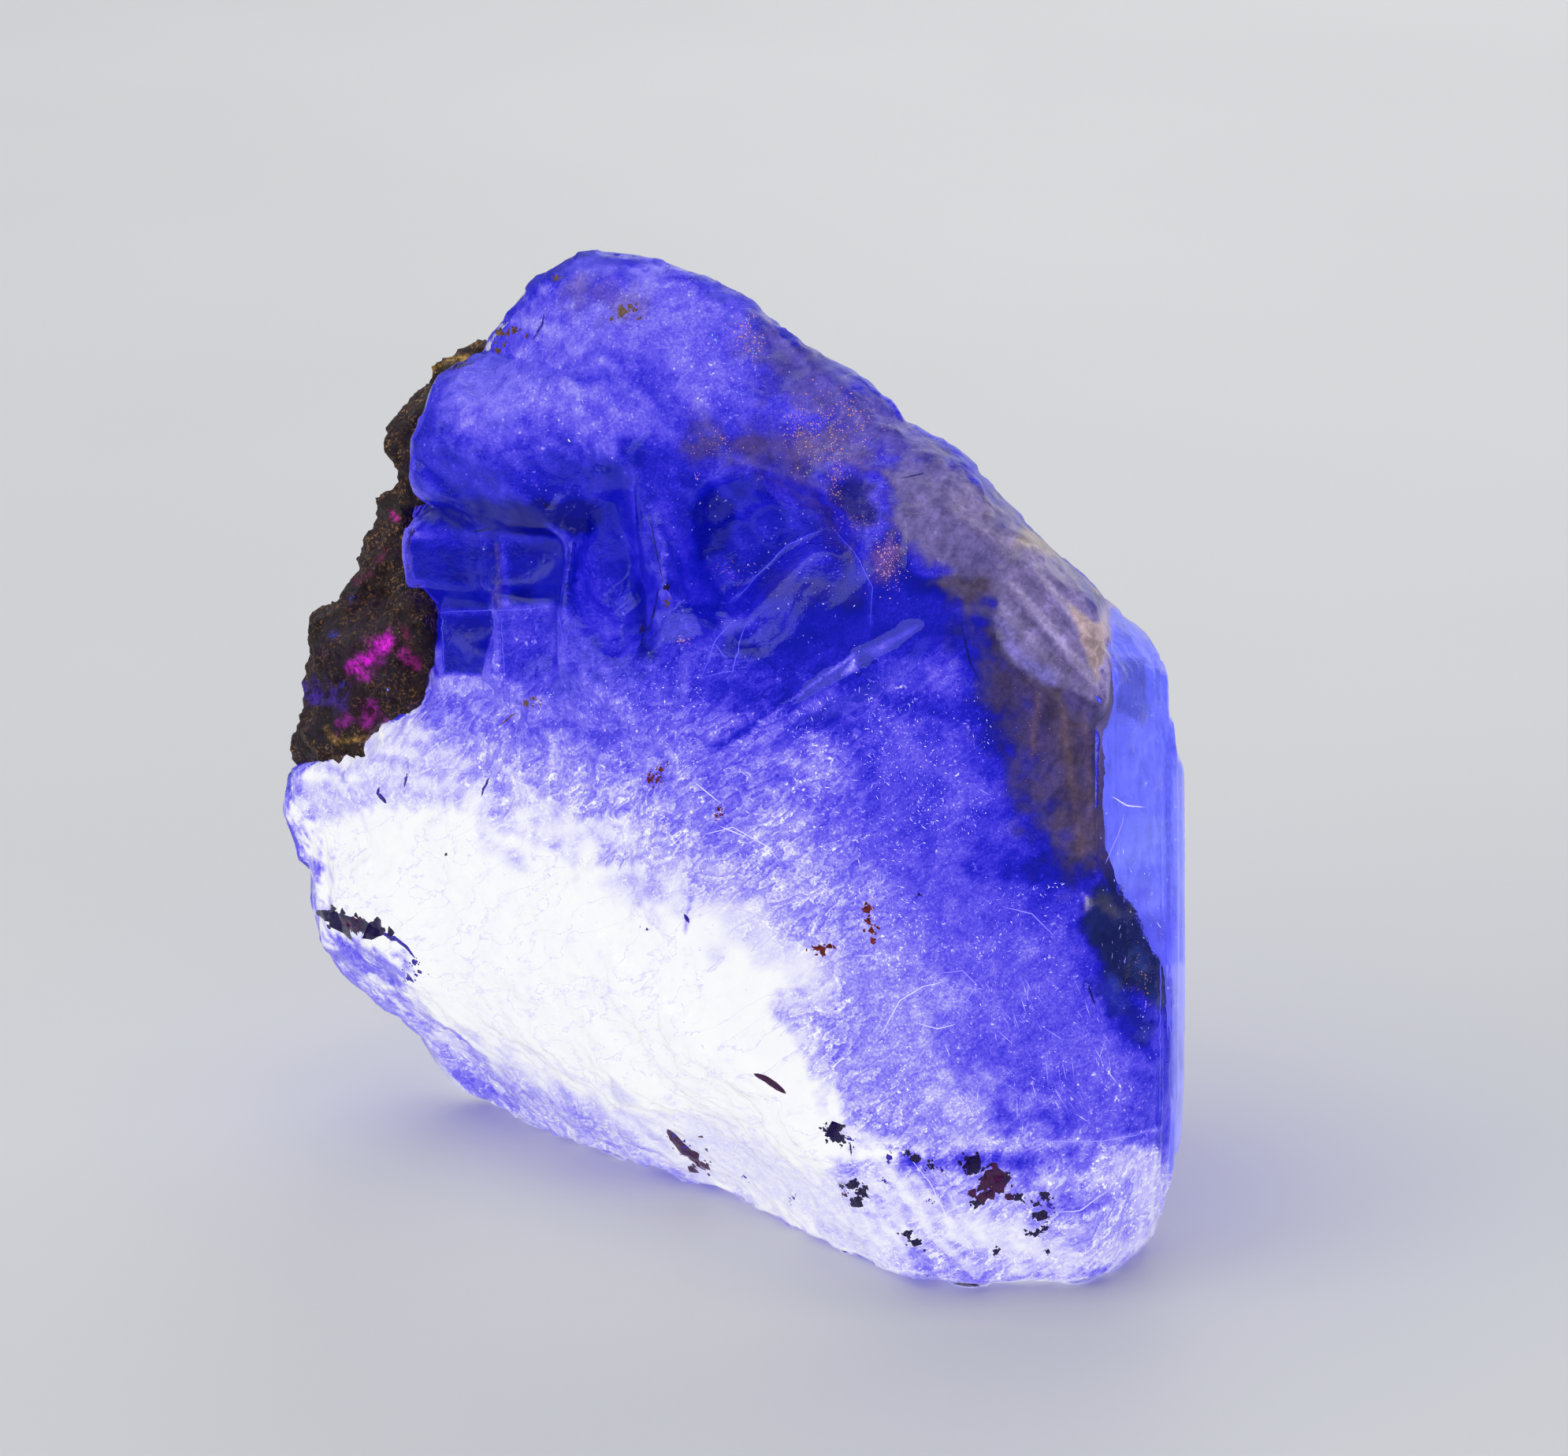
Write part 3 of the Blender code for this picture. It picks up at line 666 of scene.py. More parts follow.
class Bits:
    """Many small closed solids gathered into one mesh."""

    def __init__(self):
        self.verts, self.faces, self.tones = [], [], []

    def add(self, points, faces, tone):
        start = len(self.verts)
        self.verts += [tuple(np.clip(p * MM, *CAD_BOX)) for p in points]
        self.faces += [tuple(start + n for n in face) for face in faces]
        self.tones += [linear(tone)] * len(points)

    def spindle(self, place, along, length, width, tone):
        """A thin pointed splinter."""
        along = along / np.linalg.norm(along)
        side = np.cross(along, (0.31, -0.83, 0.46))
        side /= np.linalg.norm(side)
        other = np.cross(along, side) * width / 2
        side = side * width / 2
        tip = along * length / 2
        points = [place - tip, place + side, place + other, place - side, place - other, place + tip]
        faces = [(0, 2, 1), (0, 3, 2), (0, 4, 3), (0, 1, 4), (5, 1, 2), (5, 2, 3), (5, 3, 4), (5, 4, 1)]
        self.add(points, faces, tone)

    def ribbon(self, places, normals, width, thickness, tone):
        """A thin band that follows places, pointed at both ends."""
        count = len(places)
        points, faces = [places[0]], []
        for n in range(1, count - 1):
            along = places[n + 1] - places[n - 1]
            side = np.cross(along, normals[n])
            side /= np.linalg.norm(side) + 1e-9
            swell = width / 2 * math.sin(math.pi * n / (count - 1)) ** 0.5
            up = normals[n] * thickness / 2
            points += [places[n] + side * swell, places[n] + up, places[n] - side * swell, places[n] - up]
        points.append(places[-1])
        for k in range(4):
            faces.append((0, 1 + (k + 1) % 4, 1 + k))
            for n in range(count - 3):
                a, b = 1 + 4 * n, 5 + 4 * n
                faces.append((a + k, a + (k + 1) % 4, b + (k + 1) % 4, b + k))
            last = 1 + 4 * (count - 3)
            faces.append((len(points) - 1, last + k, last + (k + 1) % 4))
        self.add(points, faces, tone)

    def grain(self, place, normal, size, flatness, rng, corners, tone):
        """An angular grain: the hull of random corners, flattened along the normal."""
        directions = rng.normal(0, 1, (corners, 3))
        directions /= np.linalg.norm(directions, axis=1)[:, None]
        points = directions * rng.uniform(0.6, 1.0, (corners, 1)) * size / 2
        points -= np.outer(points @ normal, normal) * (1 - flatness)
        bm = bmesh.new()
        for point in points:
            bm.verts.new(place + point)
        made = bmesh.ops.convex_hull(bm, input=bm.verts)
        loose = {g for g in made["geom_interior"] + made["geom_unused"] if isinstance(g, bmesh.types.BMVert)}
        bmesh.ops.delete(bm, geom=list(loose), context="VERTS")
        bmesh.ops.recalc_face_normals(bm, faces=bm.faces)
        bm.verts.index_update()
        self.add([np.array(v.co) for v in bm.verts], [[v.index for v in f.verts] for f in bm.faces], tone)
        bm.free()

    def to_object(self, name, material, slot):
        mesh = bpy.data.meshes.new(name)
        mesh.from_pydata(self.verts, [], self.faces)
        layer = mesh.attributes.new("tone", "FLOAT_COLOR", "POINT")
        layer.data.foreach_set("color", np.array(self.tones, dtype=np.float32).ravel())
        mesh.materials.append(material)
        obj = add_object(name, mesh)
        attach(obj, "root")
        return obj


def follow(line, tree, sink, spacing=9.0):
    """Points and normals along a line of pixels, cast onto the surface and sunk below it."""
    places, normals = [], []
    for (x0, y0), (x1, y1) in zip(line, line[1:]):
        steps = max(1, round(math.hypot(x1 - x0, y1 - y0) / spacing))
        for n in range(steps):
            place, normal = cast((x0 + (x1 - x0) * n / steps, y0 + (y1 - y0) * n / steps), tree)
            places.append(place - normal * sink)
            normals.append(normal)
    place, normal = cast(line[-1], tree)
    return places + [place - normal * sink], normals + [normal]


def in_plane(normal, degrees):
    """The direction on a surface that runs at that angle in the photograph, from right towards up."""
    flat = CAMERA_RIGHT * math.cos(math.radians(degrees)) + CAMERA_UP * math.sin(math.radians(degrees))
    flat = flat - normal * (flat @ normal)
    return flat / (np.linalg.norm(flat) + 1e-9)


# White flecks in patches: how many, shortest, longest, width, angle and its spread, least and greatest depth
FLECK_PATCHES = rows("""
fleck field = 640 0.03 0.2 0.034 -70 40 0.1 0.9: 1110,870 1240,860 1280,1000 1220,1080 1100,1000
fleck net = 260 0.08 0.4 0.03 -35 50 0.1 0.8: 1000,900 1110,860 1130,1000 1000,1010
middle flecks = 560 0.04 0.4 0.034 -28 30 0.1 0.7: 940,990 1200,1010 1150,1200 930,1180
cleft flecks = 520 0.04 0.24 0.034 -50 60 0.1 0.9: 1120,1130 1370,1120 1390,1290 1140,1320
foot scratches = 130 0.3 1.6 0.02 -62 18 0.05 0.5: 1150,1250 1400,1250 1420,1420 1200,1420
foot specks = 320 0.03 0.16 0.035 -62 80 0.05 0.7: 1150,1250 1460,1250 1460,1440 1200,1440
slope flecks = 420 0.05 0.24 0.035 -20 70 0.05 0.3: 690,870 900,840 880,1010 640,990
upper flecks = 200 0.03 0.1 0.035 -20 90 0.05 0.3: 560,420 1000,400 1100,600 620,640
crystal flecks = 260 0.04 0.16 0.032 -40 90 0.05 0.3: 840,620 1100,640 1090,860 820,860
milky flecks = 260 0.05 0.5 0.03 -36 16 0.05 0.2: 480,1000 860,1000 1000,1350 700,1350
rim specks = 120 0.03 0.12 0.04 -20 90 0.05 0.2: 500,1180 900,1330 1100,1480 700,1420
outer zone flecks = 90 0.1 0.5 0.03 -80 14 0.1 1.0: 1400,1060 1470,1080 1470,1380 1400,1300
""")

# Glints: how many, size; the place and the spread in pixels
GLINTS = rows("""
copper = 110 0.1: 950,425 16,28
copper = 260 0.09: 1070,530 34,34
gold = 200 0.08: 1030,560 30,30
copper = 90 0.09: 1010,540 14,24
pink = 300 0.075: 1128,710 19,30
copper = 130 0.09: 1060,605 10,40
copper = 80 0.06: 1082,664 18,9
copper = 40 0.07: 865,814 8,6
copper = 50 0.055: 930,724 22,10
copper = 90 0.08: 905,560 30,14
cyan = 9 0.1: 908,430 5,5
cyan = 8 0.08: 957,446 5,4
cyan = 8 0.08: 935,498 10,3
copper = 40 0.06: 760,350 34,10
pink = 12 0.08: 886,604 5,5
copper = 50 0.07: 1450,1240 14,26
sand = 60 0.06: 880,350 30,16
sand = 60 0.06: 1300,700 26,14
copper = 70 0.05: 1310,950 30,60
white = 100 0.05: 1150,1160 300,160
white = 90 0.05: 760,960 160,60
copper = 16 0.07: 1262,1506 10,9
pink = 12 0.06: 1265,1500 12,10
white = 3 0.12: 722,560 2,2
white = 50 0.05: 740,650 120,60
""")

# Dark grains: place, width and height in pixels
GRAINS = rows("""
black: 430,1170,52,24
wine: 446,1176,34,18
black: 472,1181,38,10
violet: 520,1242,24,19 524,1222,16,12
red: 825,987,14,15 838,976,12,10 833,990,8,10 912,1026,8,7 909,1036,6,6 916,1033,5,5 1100,1154,15,13 \
    1102,1168,7,10 1106,1182,13,13 1108,1193,6,10 1045,1206,20,11 1036,1204,8,6
violet: 820,1180,9,5
wine: 885,1475,34,26
violet: 868,1458,22,14 855,1444,14,10
wine: 896,1482,14,14
violet: 945,1495,8,10 1005,1520,6,12
black: 1062,1437,32,17 1048,1434,10,10 1152,1464,10,7 1164,1471,14,8 1178,1479,14,8
violet: 1195,1485,8,5 1128,1470,9,15 1122,1500,8,9
black: 1150,1567,15,9 1163,1578,14,8
violet: 1173,1588,8,8 1077,1446,14,13
black: 1070,1450,9,10 1055,1447,10,7 1080,1504,24,10 1094,1516,12,20 1084,1527,22,8
wine: 1071,1517,10,11
black: 1068,1506,10,8 1237,1478,26,18 1229,1486,12,10
wine: 1262,1502,38,26 1250,1518,34,24
black: 1272,1496,18,16 1240,1528,16,10 1292,1520,14,9 1325,1518,16,10 1314,1528,10,8
violet: 1332,1530,9,12
black: 1320,1545,20,7 1312,1566,18,9 1326,1560,10,9 1265,1590,10,10 1330,1590,8,7
violet: 1180,1525,9,7
brown: 790,395,24,17 800,388,14,12 776,404,12,9 705,352,12,6 614,427,22,10 634,422,22,9 652,419,20,8 \
    668,425,9,7 668,894,22,9 676,888,12,9
black: 1166,1136,5,5 846,745,10,8
brown: 848,765,7,12
black: 693,641,7,5 815,800,9,12
""")

# Thin dark cracks and streaks: width
STREAKS = rows("""
black = 0.9: 400,1160 420,1166 450,1174 482,1182
violet = 0.3: 476,1181 500,1192 514,1204 526,1218
wine = 0.95: 844,1434 860,1452 878,1470 894,1488
violet = 0.3: 480,1000 478,1010 488,1020
violet = 0.2: 512,980 510,1000
violet = 0.16: 622,985 614,1000 610,1012
wine = 0.4: 955,1362 970,1368 984,1378 998,1390
black = 0.12: 1078,1448 1078,1470
black = 0.12: 1250,1488 1262,1478
black = 0.14: 1285,1515 1302,1530
violet = 0.24: 866,1160 872,1172
brown = 0.12: 655,905 645,912 634,920
violet = 0.16: 690,398 686,412 676,432
blue = 0.1: 822,650 832,700 840,740
blue = 0.26: 838,745 826,790 806,828
blue = 0.12: 1218,788 1226,815 1232,845 1245,862
blue = 0.12: 1142,604 1175,598
blue = 0.2: 1115,578 1125,574
blue = 0.16: 1138,566 1146,570
blue = 0.2: 600,676 625,674
blue = 0.12: 1380,1250 1392,1275
""")

# Bright thin lines, painted highlights along ridges and the edges of inner faces: width
BRIGHT_LINES = rows("""
pale = 0.07: 1205,1461 1260,1455 1330,1450 1398,1449 1440,1442 1463,1433
pale = 0.06: 1440,1458 1448,1500 1440,1545
bright = 0.07: 1434,1478 1408,1512 1372,1538 1340,1540
bright = 0.07: 1152,1466 1180,1500 1202,1548 1240,1590
pale = 0.05: 1172,1470 1198,1498 1222,1540
bright = 0.1: 1412,1010 1432,1022 1456,1024
pale = 0.08: 1430,1030 1420,1060 1404,1098
bright = 0.08: 1116,1318 1142,1270 1172,1252 1200,1246
pale = 0.07: 1190,1236 1222,1232 1240,1250 1226,1272 1200,1270
bright = 0.07: 1160,1298 1190,1306 1214,1300
pale = 0.07: 1270,1150 1310,1160 1340,1190
bright = 0.06: 1060,1190 1072,1200 1068,1212
bright = 0.05: 1082,1214 1112,1212
dim = 0.05: 928,766 960,730 1000,691 1052,667
dim = 0.05: 1052,667 1082,700 1107,745 1104,792
dim = 0.05: 633,775 640,866
dim = 0.05: 558,777 628,775 705,769
dim = 0.04: 558,777 562,850
dim = 0.04: 706,770 716,845 690,866
bright = 0.07: 890,1060 930,1050 975,1075 990,1095
bright = 0.08: 640,985 665,1000 680,1020
bright = 0.09: 912,1048 950,1064
pale = 0.06: 1240,1000 1258,1010
bright = 0.08: 880,992 915,1020
dim = 0.1: 1475,1060 1476,1200 1474,1420
dim = 0.12: 1486,860 1487,1100 1486,1480
dim = 0.06: 1407,836 1447,838 1446,922 1420,918
dim = 0.08: 890,860 908,812 930,786
dim = 0.08: 890,860 930,850 945,790
dim = 0.07: 905,812 925,836
""")

LONGEST_GRAIN = 0.14                # a longer fleck is a splinter
LINE_SINK = 0.22                    # how far below the surface the bright lines lie
STREAK_SINK = 0.16
GRAIN_SINK = 0.12
ROCK_GLINT_SINK = 0.05
LINE_THICKNESS = 0.04
STREAK_THICKNESS = 0.12             # at most
PIECES_PER_GRAIN = 14
GRAIN_GROWTH = {"black": 1.45, "wine": 1.45, "red": 1.3}

# The colours of small inclusions, flecks, lines and glints
TONES = {
    "black": "14063e", "violet": "2c1a96", "wine": "380a3c", "red": "5e1d1c", "brown": "5a3b22",
    "blue": "0b1172", "copper": "e09a68", "pink": "eeb0c8", "cyan": "9fe8ff", "sand": "b5a28c",
    "white": "ffffff", "spark": "4f8cff", "gold": "e0b060", "bright": "d8d4fd", "pale": "9a92fa",
    "dim": "5a58e6",
}
FLECK_TONES = ["8f86fb", "b3acfc", "d6d3fd", "ffffff"]

# Colours of the host rock's glow: reach and softness in pixels, sRGB colour, strength
ROCK_LAYERS = layers("""
violet light = - 40 30103c 0.5: 380,940 400,800 455,745 520,800 510,920
gold top = 5 10 a88444 0.9: 548,468 570,456 594,454
hot spot = 11 18 e012da 1.0: 455,852 470,836 490,818
hot spot's right = 9 16 8c107c 0.85: 505,828 528,838
hot spot's foot = 9 20 8a1a84 0.8: 438,916 480,905
purple field = 12 24 3c1c9c 0.7: 395,880 430,890
neck spot = 4 8 c41c9c 0.9: 497,652 506,660
neck stain = 5 10 7a1458 0.7: 488,700 480,712
shoulder stain = 5 10 6a1848 0.6: 452,736 470,728
gold foot = 3 7 b88c4c 0.9: 414,925 425,942 466,938
red dots = 3 8 a02060 0.6: 512,798 528,846
blue halo = 3 12 2436c0 0.8: 423,805 424,806
second blue halo = 3 12 2436c0 0.8: 436,870 437,871
third blue halo = 2 12 1c3cb0 0.8: 371,930 372,931
fourth blue halo = 2 10 2436c0 0.7: 445,757 446,758
""")

# Glints on the host rock: place, and size in millimetres
ROCK_GLINTS = rows("""
spark: 423,805,0.5 437,815,0.38 436,870,0.46 371,930,0.42 447,757,0.4 456,770,0.3 443,800,0.26 \
    410,880,0.3
gold: 432,935,0.36 463,936,0.42 386,852,0.24 515,510,0.2
copper: 518,797,0.2
gold: 584,454,0.4 450,790,0.16
copper: 500,870,0.2
""")


class Nodes:
    """Short calls that add and link the nodes of one material."""

    def __init__(self, name):
        self.material = bpy.data.materials.new(name)
        self.material.use_nodes = True
        self.tree = self.material.node_tree
        self.shader = self.tree.nodes["Principled BSDF"]
        self.output = self.tree.nodes["Material Output"]
        self.material.cycles.emission_sampling = "NONE"
        self.mm = self.vector("SCALE", self.add("ShaderNodeTexCoord").outputs["Object"], 1 / MM)

    def add(self, kind, **settings):
        node = self.tree.nodes.new(kind)
        for name, value in settings.items():
            setattr(node, name, value)
        return node

    def plug(self, socket, value):
        if isinstance(value, bpy.types.NodeSocket):
            self.tree.links.new(value, socket)
        else:
            socket.default_value = value

    def set(self, **inputs):
        """Sets or links the shader's sockets, named with _ for a space."""
        for name, value in inputs.items():
            self.plug(self.shader.inputs[name.replace("_", " ")], value)

    def vector(self, operation, a, scale):
        node = self.add("ShaderNodeVectorMath", operation=operation)
        self.plug(node.inputs[0], a)
        self.plug(node.inputs["Scale"], scale)
        return node.outputs["Vector"]

    def math(self, operation, a, b=0.0, clamp=False):
        node = self.add("ShaderNodeMath", operation=operation, use_clamp=clamp)
        self.plug(node.inputs[0], a)
        self.plug(node.inputs[1], b)
        return node.outputs[0]

    def times(self, a, b):
        return self.math("MULTIPLY", a, b)

    def total(self, *values, clamp=False):
        while len(values) > 1:
            values = (self.math("ADD", values[0], values[1], clamp and len(values) == 2), *values[2:])
        return values[0]

    def span(self, value, low, high, to_low=0.0, to_high=1.0):
        """Maps value from low..high to to_low..to_high, smoothly and clamped."""
        node = self.add("ShaderNodeMapRange", interpolation_type="SMOOTHSTEP")
        for name, number in zip(("Value", "From Min", "From Max", "To Min", "To Max"),
                                (value, low, high, to_low, to_high)):
            self.plug(node.inputs[name], number)
        return node.outputs[0]

    def mix(self, share, a, b, blend="MIX"):
        node = self.add("ShaderNodeMix", data_type="RGBA", blend_type=blend)
        self.plug(node.inputs[0], share)
        self.plug(node.inputs[6], a)
        self.plug(node.inputs[7], b)
        return node.outputs[2]

    def tinted(self, colour, tint):
        return self.mix(1.0, colour, tint, "MULTIPLY")

    def ramp(self, value, stops):
        node = self.add("ShaderNodeValToRGB")
        elements = node.color_ramp.elements
        while len(elements) < len(stops):
            elements.new(0.5)
        for element, (place, code) in zip(elements, stops):
            element.position = place
            element.color = linear(code)
        self.plug(node.inputs[0], value)
        return node.outputs[0]

    def place(self, turn, stretch):
        """The place in millimetres, turned about Y by turn degrees and then scaled."""
        if stretch is None:
            return self.mm
        turned = self.add("ShaderNodeMapping")
        self.plug(turned.inputs["Vector"], self.mm)
        self.plug(turned.inputs["Rotation"], (0.0, math.radians(turn), 0.0))
        node = self.add("ShaderNodeMapping")
        self.plug(node.inputs["Vector"], turned.outputs[0])
        self.plug(node.inputs["Scale"], stretch)
        return node.outputs[0]

    def noise(self, size, detail=3.0, roughness=0.55, distortion=0.0, turn=0.0, stretch=None):
        """Noise from 0 to 1 with lumps of that size in millimetres."""
        node = self.add("ShaderNodeTexNoise", normalize=True)
        self.plug(node.inputs["Vector"], self.place(turn, stretch))
        for name, value in (("Scale", 1 / size), ("Detail", detail), ("Roughness", roughness),
                            ("Distortion", distortion)):
            self.plug(node.inputs[name], value)
        return node.outputs[0]

    def veins(self, size, width, detail=2.0, distortion=0.0, turn=0.0, stretch=None):
        """1 on thin wandering lines, 0 away from them."""
        noise_value = self.noise(size, detail, 0.5, distortion, turn, stretch)
        off = self.math("ABSOLUTE", self.math("SUBTRACT", noise_value, 0.5))
        return self.span(off, 0.0, width, 1.0, 0.0)

    def attribute(self, name, output="Fac"):
        return self.add("ShaderNodeAttribute", attribute_name=name).outputs[output]

    def bump(self, height, distance, strength=1.0):
        node = self.add("ShaderNodeBump")
        self.plug(node.inputs["Height"], height)
        self.plug(node.inputs["Distance"], distance * MM)
        self.plug(node.inputs["Strength"], strength)
        return node.outputs[0]


def core_material():
    n = Nodes("glowing_milky_core")
    glow = n.attribute("glow")
    middle = n.span(glow, 0.02, 0.35)
    white = n.span(glow, 0.86, 1.0)
    blue = n.math("SUBTRACT", middle, white, clamp=True)
    clouds = n.span(n.noise(1.9, 6.0, 0.7, 0.2), 0.25, 0.75, -0.08, 0.08)
    wisps = n.span(n.noise(0.8, 6.0, 0.7, 0.0, 38, (0.4, 1.0, 1.8)), 0.5, 0.78, 0.0, 0.16)
    cracks = n.times(n.veins(3.0, 0.006, 6.0, 0.0, 35, (0.5, 1.0, 1.4)), -0.1)
    ridges = n.times(n.veins(1.9, 0.009, 6.0, 0.0, 30, (0.5, 1.0, 1.8)),
                     n.span(n.noise(2.6, 2.0), 0.44, 0.62, 0.0, 0.2))
    flecks = n.span(n.noise(0.3, 2.0, 0.6), 0.62, 0.72, 0.0, 0.34)
    flecks = n.times(flecks, n.span(n.noise(3.0, 2.0), 0.42, 0.62))
    grain = n.total(n.span(n.noise(0.14, 2.0, 0.6), 0.25, 0.75, -0.08, 0.08),
                    n.span(n.noise(0.11, 1.0, 0.5), 0.68, 0.76, 0.0, 0.25))
    levels = n.times(n.noise(2.4, 6.0, 0.55, 0.0, 35, (0.55, 1.0, 1.3)), 9.0)
    fractures = n.span(n.math("FRACT", levels), 0.0, 1.0, -0.08, 0.08)
    broken = n.total(wisps, cracks, ridges, fractures)
    detail = n.total(clouds, n.times(broken, n.attribute("broken")), flecks, grain, -0.06)
    wrinkle = n.total(n.times(n.veins(3.2, 0.008, 6.0, 0.0, 36, (0.35, 1.0, 1.8)), -0.04),
                      n.span(n.noise(1.2, 6.0, 0.7, 0.0, 36, (0.4, 1.0, 1.6)), 0.52, 0.85, 0.0, -0.05))
    glow = n.total(glow, n.times(detail, blue), n.times(wrinkle, white), clamp=True)
    tint = n.add("ShaderNodeAttribute", attribute_name="tint")
    speckle = n.span(n.noise(0.3, 4.0, 0.7), 0.25, 0.75, 0.72, 1.3)
    veil = n.span(n.noise(1.4, 4.0, 0.6, 0.6, 60, (0.5, 1.0, 1.6)), 0.3, 0.7, 0.8, 1.25)
    tinted = n.tinted(tint.outputs["Color"], n.times(speckle, veil))
    colour = n.mix(tint.outputs["Alpha"], n.ramp(glow, FLUORESCENCE), tinted)
    # The core has no colour of its own: all it shows is its painted glow
    n.set(Base_Color=BLACK, Roughness=0.5, Specular_IOR_Level=0.0,
          Emission_Color=colour, Emission_Strength=1.0)
    return n.material


def outer_glow_material():
    n = Nodes("outer_zone_glow")
    streaks = n.noise(0.7, 4.0, 0.65, 0.0, 0.0, (3.0, 1.0, 0.25))
    tint = n.attribute("tint", "Color")
    colour = n.tinted(tint, n.span(streaks, 0.25, 0.75, 0.8, 1.18))
    colour = n.tinted(colour, n.span(n.noise(1.6, 5.0, 0.65), 0.3, 0.7, 0.86, 1.1))
    colour = n.mix(n.span(n.noise(0.3, 2.0), 0.68, 0.78, 0.0, 0.5), colour, (0.75, 0.8, 1.0, 1.0))
    n.set(Base_Color=(0.05, 0.06, 0.25, 1.0), Roughness=0.5, Emission_Color=colour, Emission_Strength=1.0)
    return n.material


def crystal_material():
    n = Nodes("clear_fluorite")
    rough = n.attribute("rough")
    patches = n.noise(1.6, 4.0, 0.6)
    height = n.total(n.noise(0.9, 4.0, 0.6, 0.3), n.times(n.noise(0.28, 3.0, 0.6), 0.3))
    n.set(
        Base_Color=n.mix(n.span(patches, 0.3, 0.7), (0.93, 0.94, 1.0, 1.0), (1.0, 1.0, 1.0, 1.0)),
        Roughness=n.total(n.span(patches, 0.35, 0.7, 0.0, 0.06), n.times(rough, 0.1), 0.015),
        Transmission_Weight=1.0,
        IOR=FLUORITE_IOR,
        Normal=n.bump(n.times(height, n.total(rough, 0.06, clamp=True)), 0.16, 0.7),
    )
    absorb = n.add("ShaderNodeVolumeAbsorption")
    absorb.inputs["Color"].default_value = (0.3, 0.34, 0.98, 1.0)
    absorb.inputs["Density"].default_value = ABSORPTION_DENSITY
    n.tree.links.new(absorb.outputs[0], n.output.inputs["Volume"])
    return n.material


def fleck_highlight_material():
    n = Nodes("flecks_and_highlights")
    tone = n.attribute("tone", "Color")
    # The flecks and the highlight lines glow in their own tones: painted light
    n.set(Base_Color=tone, Roughness=n.span(n.noise(0.2), 0.3, 0.7, 0.3, 0.6), Emission_Color=tone,
          Emission_Strength=0.85)
    return n.material


def inclusion_material():
    n = Nodes("dark_inclusions")
    tone = n.attribute("tone", "Color")
    colour = n.tinted(tone, n.span(n.noise(0.18, 3.0, 0.7), 0.3, 0.7, 0.4, 1.7))
    glint = n.span(n.noise(0.12, 1.0), 0.68, 0.76)
    colour = n.mix(n.times(glint, 0.5), colour, n.tinted(colour, (9.0, 3.4, 1.2, 1.0)))
    # The grains glow faintly in their own colours, and brightly in their orange glints: painted light
    n.set(Base_Color=n.mix(0.8, colour, BLACK), Roughness=n.span(n.noise(0.4), 0.3, 0.7, 0.35, 0.6),
          Specular_IOR_Level=0.15, Emission_Color=colour, Emission_Strength=0.9)
    return n.material


def glint_material():
    n = Nodes("glints")
    tone = n.attribute("tone", "Color")
    colour = n.tinted(tone, n.span(n.noise(0.1, 2.0), 0.3, 0.7, 0.5, 1.3))
    n.set(Base_Color=colour, Roughness=0.3, Emission_Color=colour, Emission_Strength=0.8)
    return n.material


def rock_material():
    n = Nodes("host_rock")
    tone = n.noise(1.7, 6.0, 0.68, 0.3)
    colour = n.ramp(tone, ROCK_COLOURS)
    olive = n.span(n.noise(3.4, 3.0), 0.42, 0.62)
    colour = n.mix(n.times(olive, 0.5), colour, n.tinted(colour, (1.05, 1.15, 0.55, 1.0)))
    plum = n.span(n.noise(2.1, 3.0, 0.6, 0.5), 0.55, 0.72)
    colour = n.mix(n.times(plum, 0.7), colour, linear("2c0f2e"))
    pits = n.span(n.noise(0.5, 3.0, 0.6), 0.3, 0.42, 0.3, 1.0)
    colour = n.tinted(colour, pits)
    dust = n.span(n.noise(0.2, 3.0, 0.7), 0.52, 0.64)
    dusty = n.span(n.noise(1.3, 3.0), 0.38, 0.62, 0.1, 0.95)
    colour = n.mix(n.times(dust, dusty), colour, linear("a87846"))
    tint = n.add("ShaderNodeAttribute", attribute_name="tint")
    spots = n.span(n.noise(0.42, 3.0, 0.65), 0.36, 0.62, 0.15, 1.1)
    lit = n.tinted(tint.outputs["Color"], spots)
    grains = n.noise(0.35, 5.0, 0.7)
    # The rock glows in its own colour at a quarter, and in its layers' colours: painted light
    n.set(
        Base_Color=n.mix(tint.outputs["Alpha"], colour, lit),
        Roughness=n.span(tone, 0.3, 0.7, 0.5, 0.85),
        Emission_Color=n.mix(tint.outputs["Alpha"], n.mix(0.75, colour, BLACK), lit),
        Emission_Strength=0.7,
        Normal=n.bump(grains, 0.25, 0.9),
    )
    return n.material


def make_rock():
    rock = add_object("host_rock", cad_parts["matrix_rock"].data.copy())
    rock.data.materials.clear()
    voxel_remesh(rock, ROCK_VOXEL)
    surface = Surface(rock)
    surface.smooth(0.5, 3)
    points = surface.points
    everywhere = np.ones(len(points))
    surface.lift(0.25 * noise_at(points, 2.4, 31) + 0.3)
    surface.facet(500, 0.9 * everywhere, seed=32, limit=0.5, tilt=0.3)
    surface.facet(2400, 0.8 * everywhere, seed=33, limit=0.3, tilt=0.35)
    surface.lift(0.09 * noise_at(points, 0.6, 34) + 0.05 * noise_at(points, 0.3, 35))
    x, y, _ = project(surface.points)
    seen = surface.in_view()
    wobble = 0.6 * noise_at(points, 0.9, 35)
    tint = np.zeros((len(points), 4))
    lay_colours(tint, ROCK_LAYERS, x, y, wobble, seen)
    surface.store("tint", tint)
    surface.write()
    rock.data.materials.append(rock_material())
    return rock


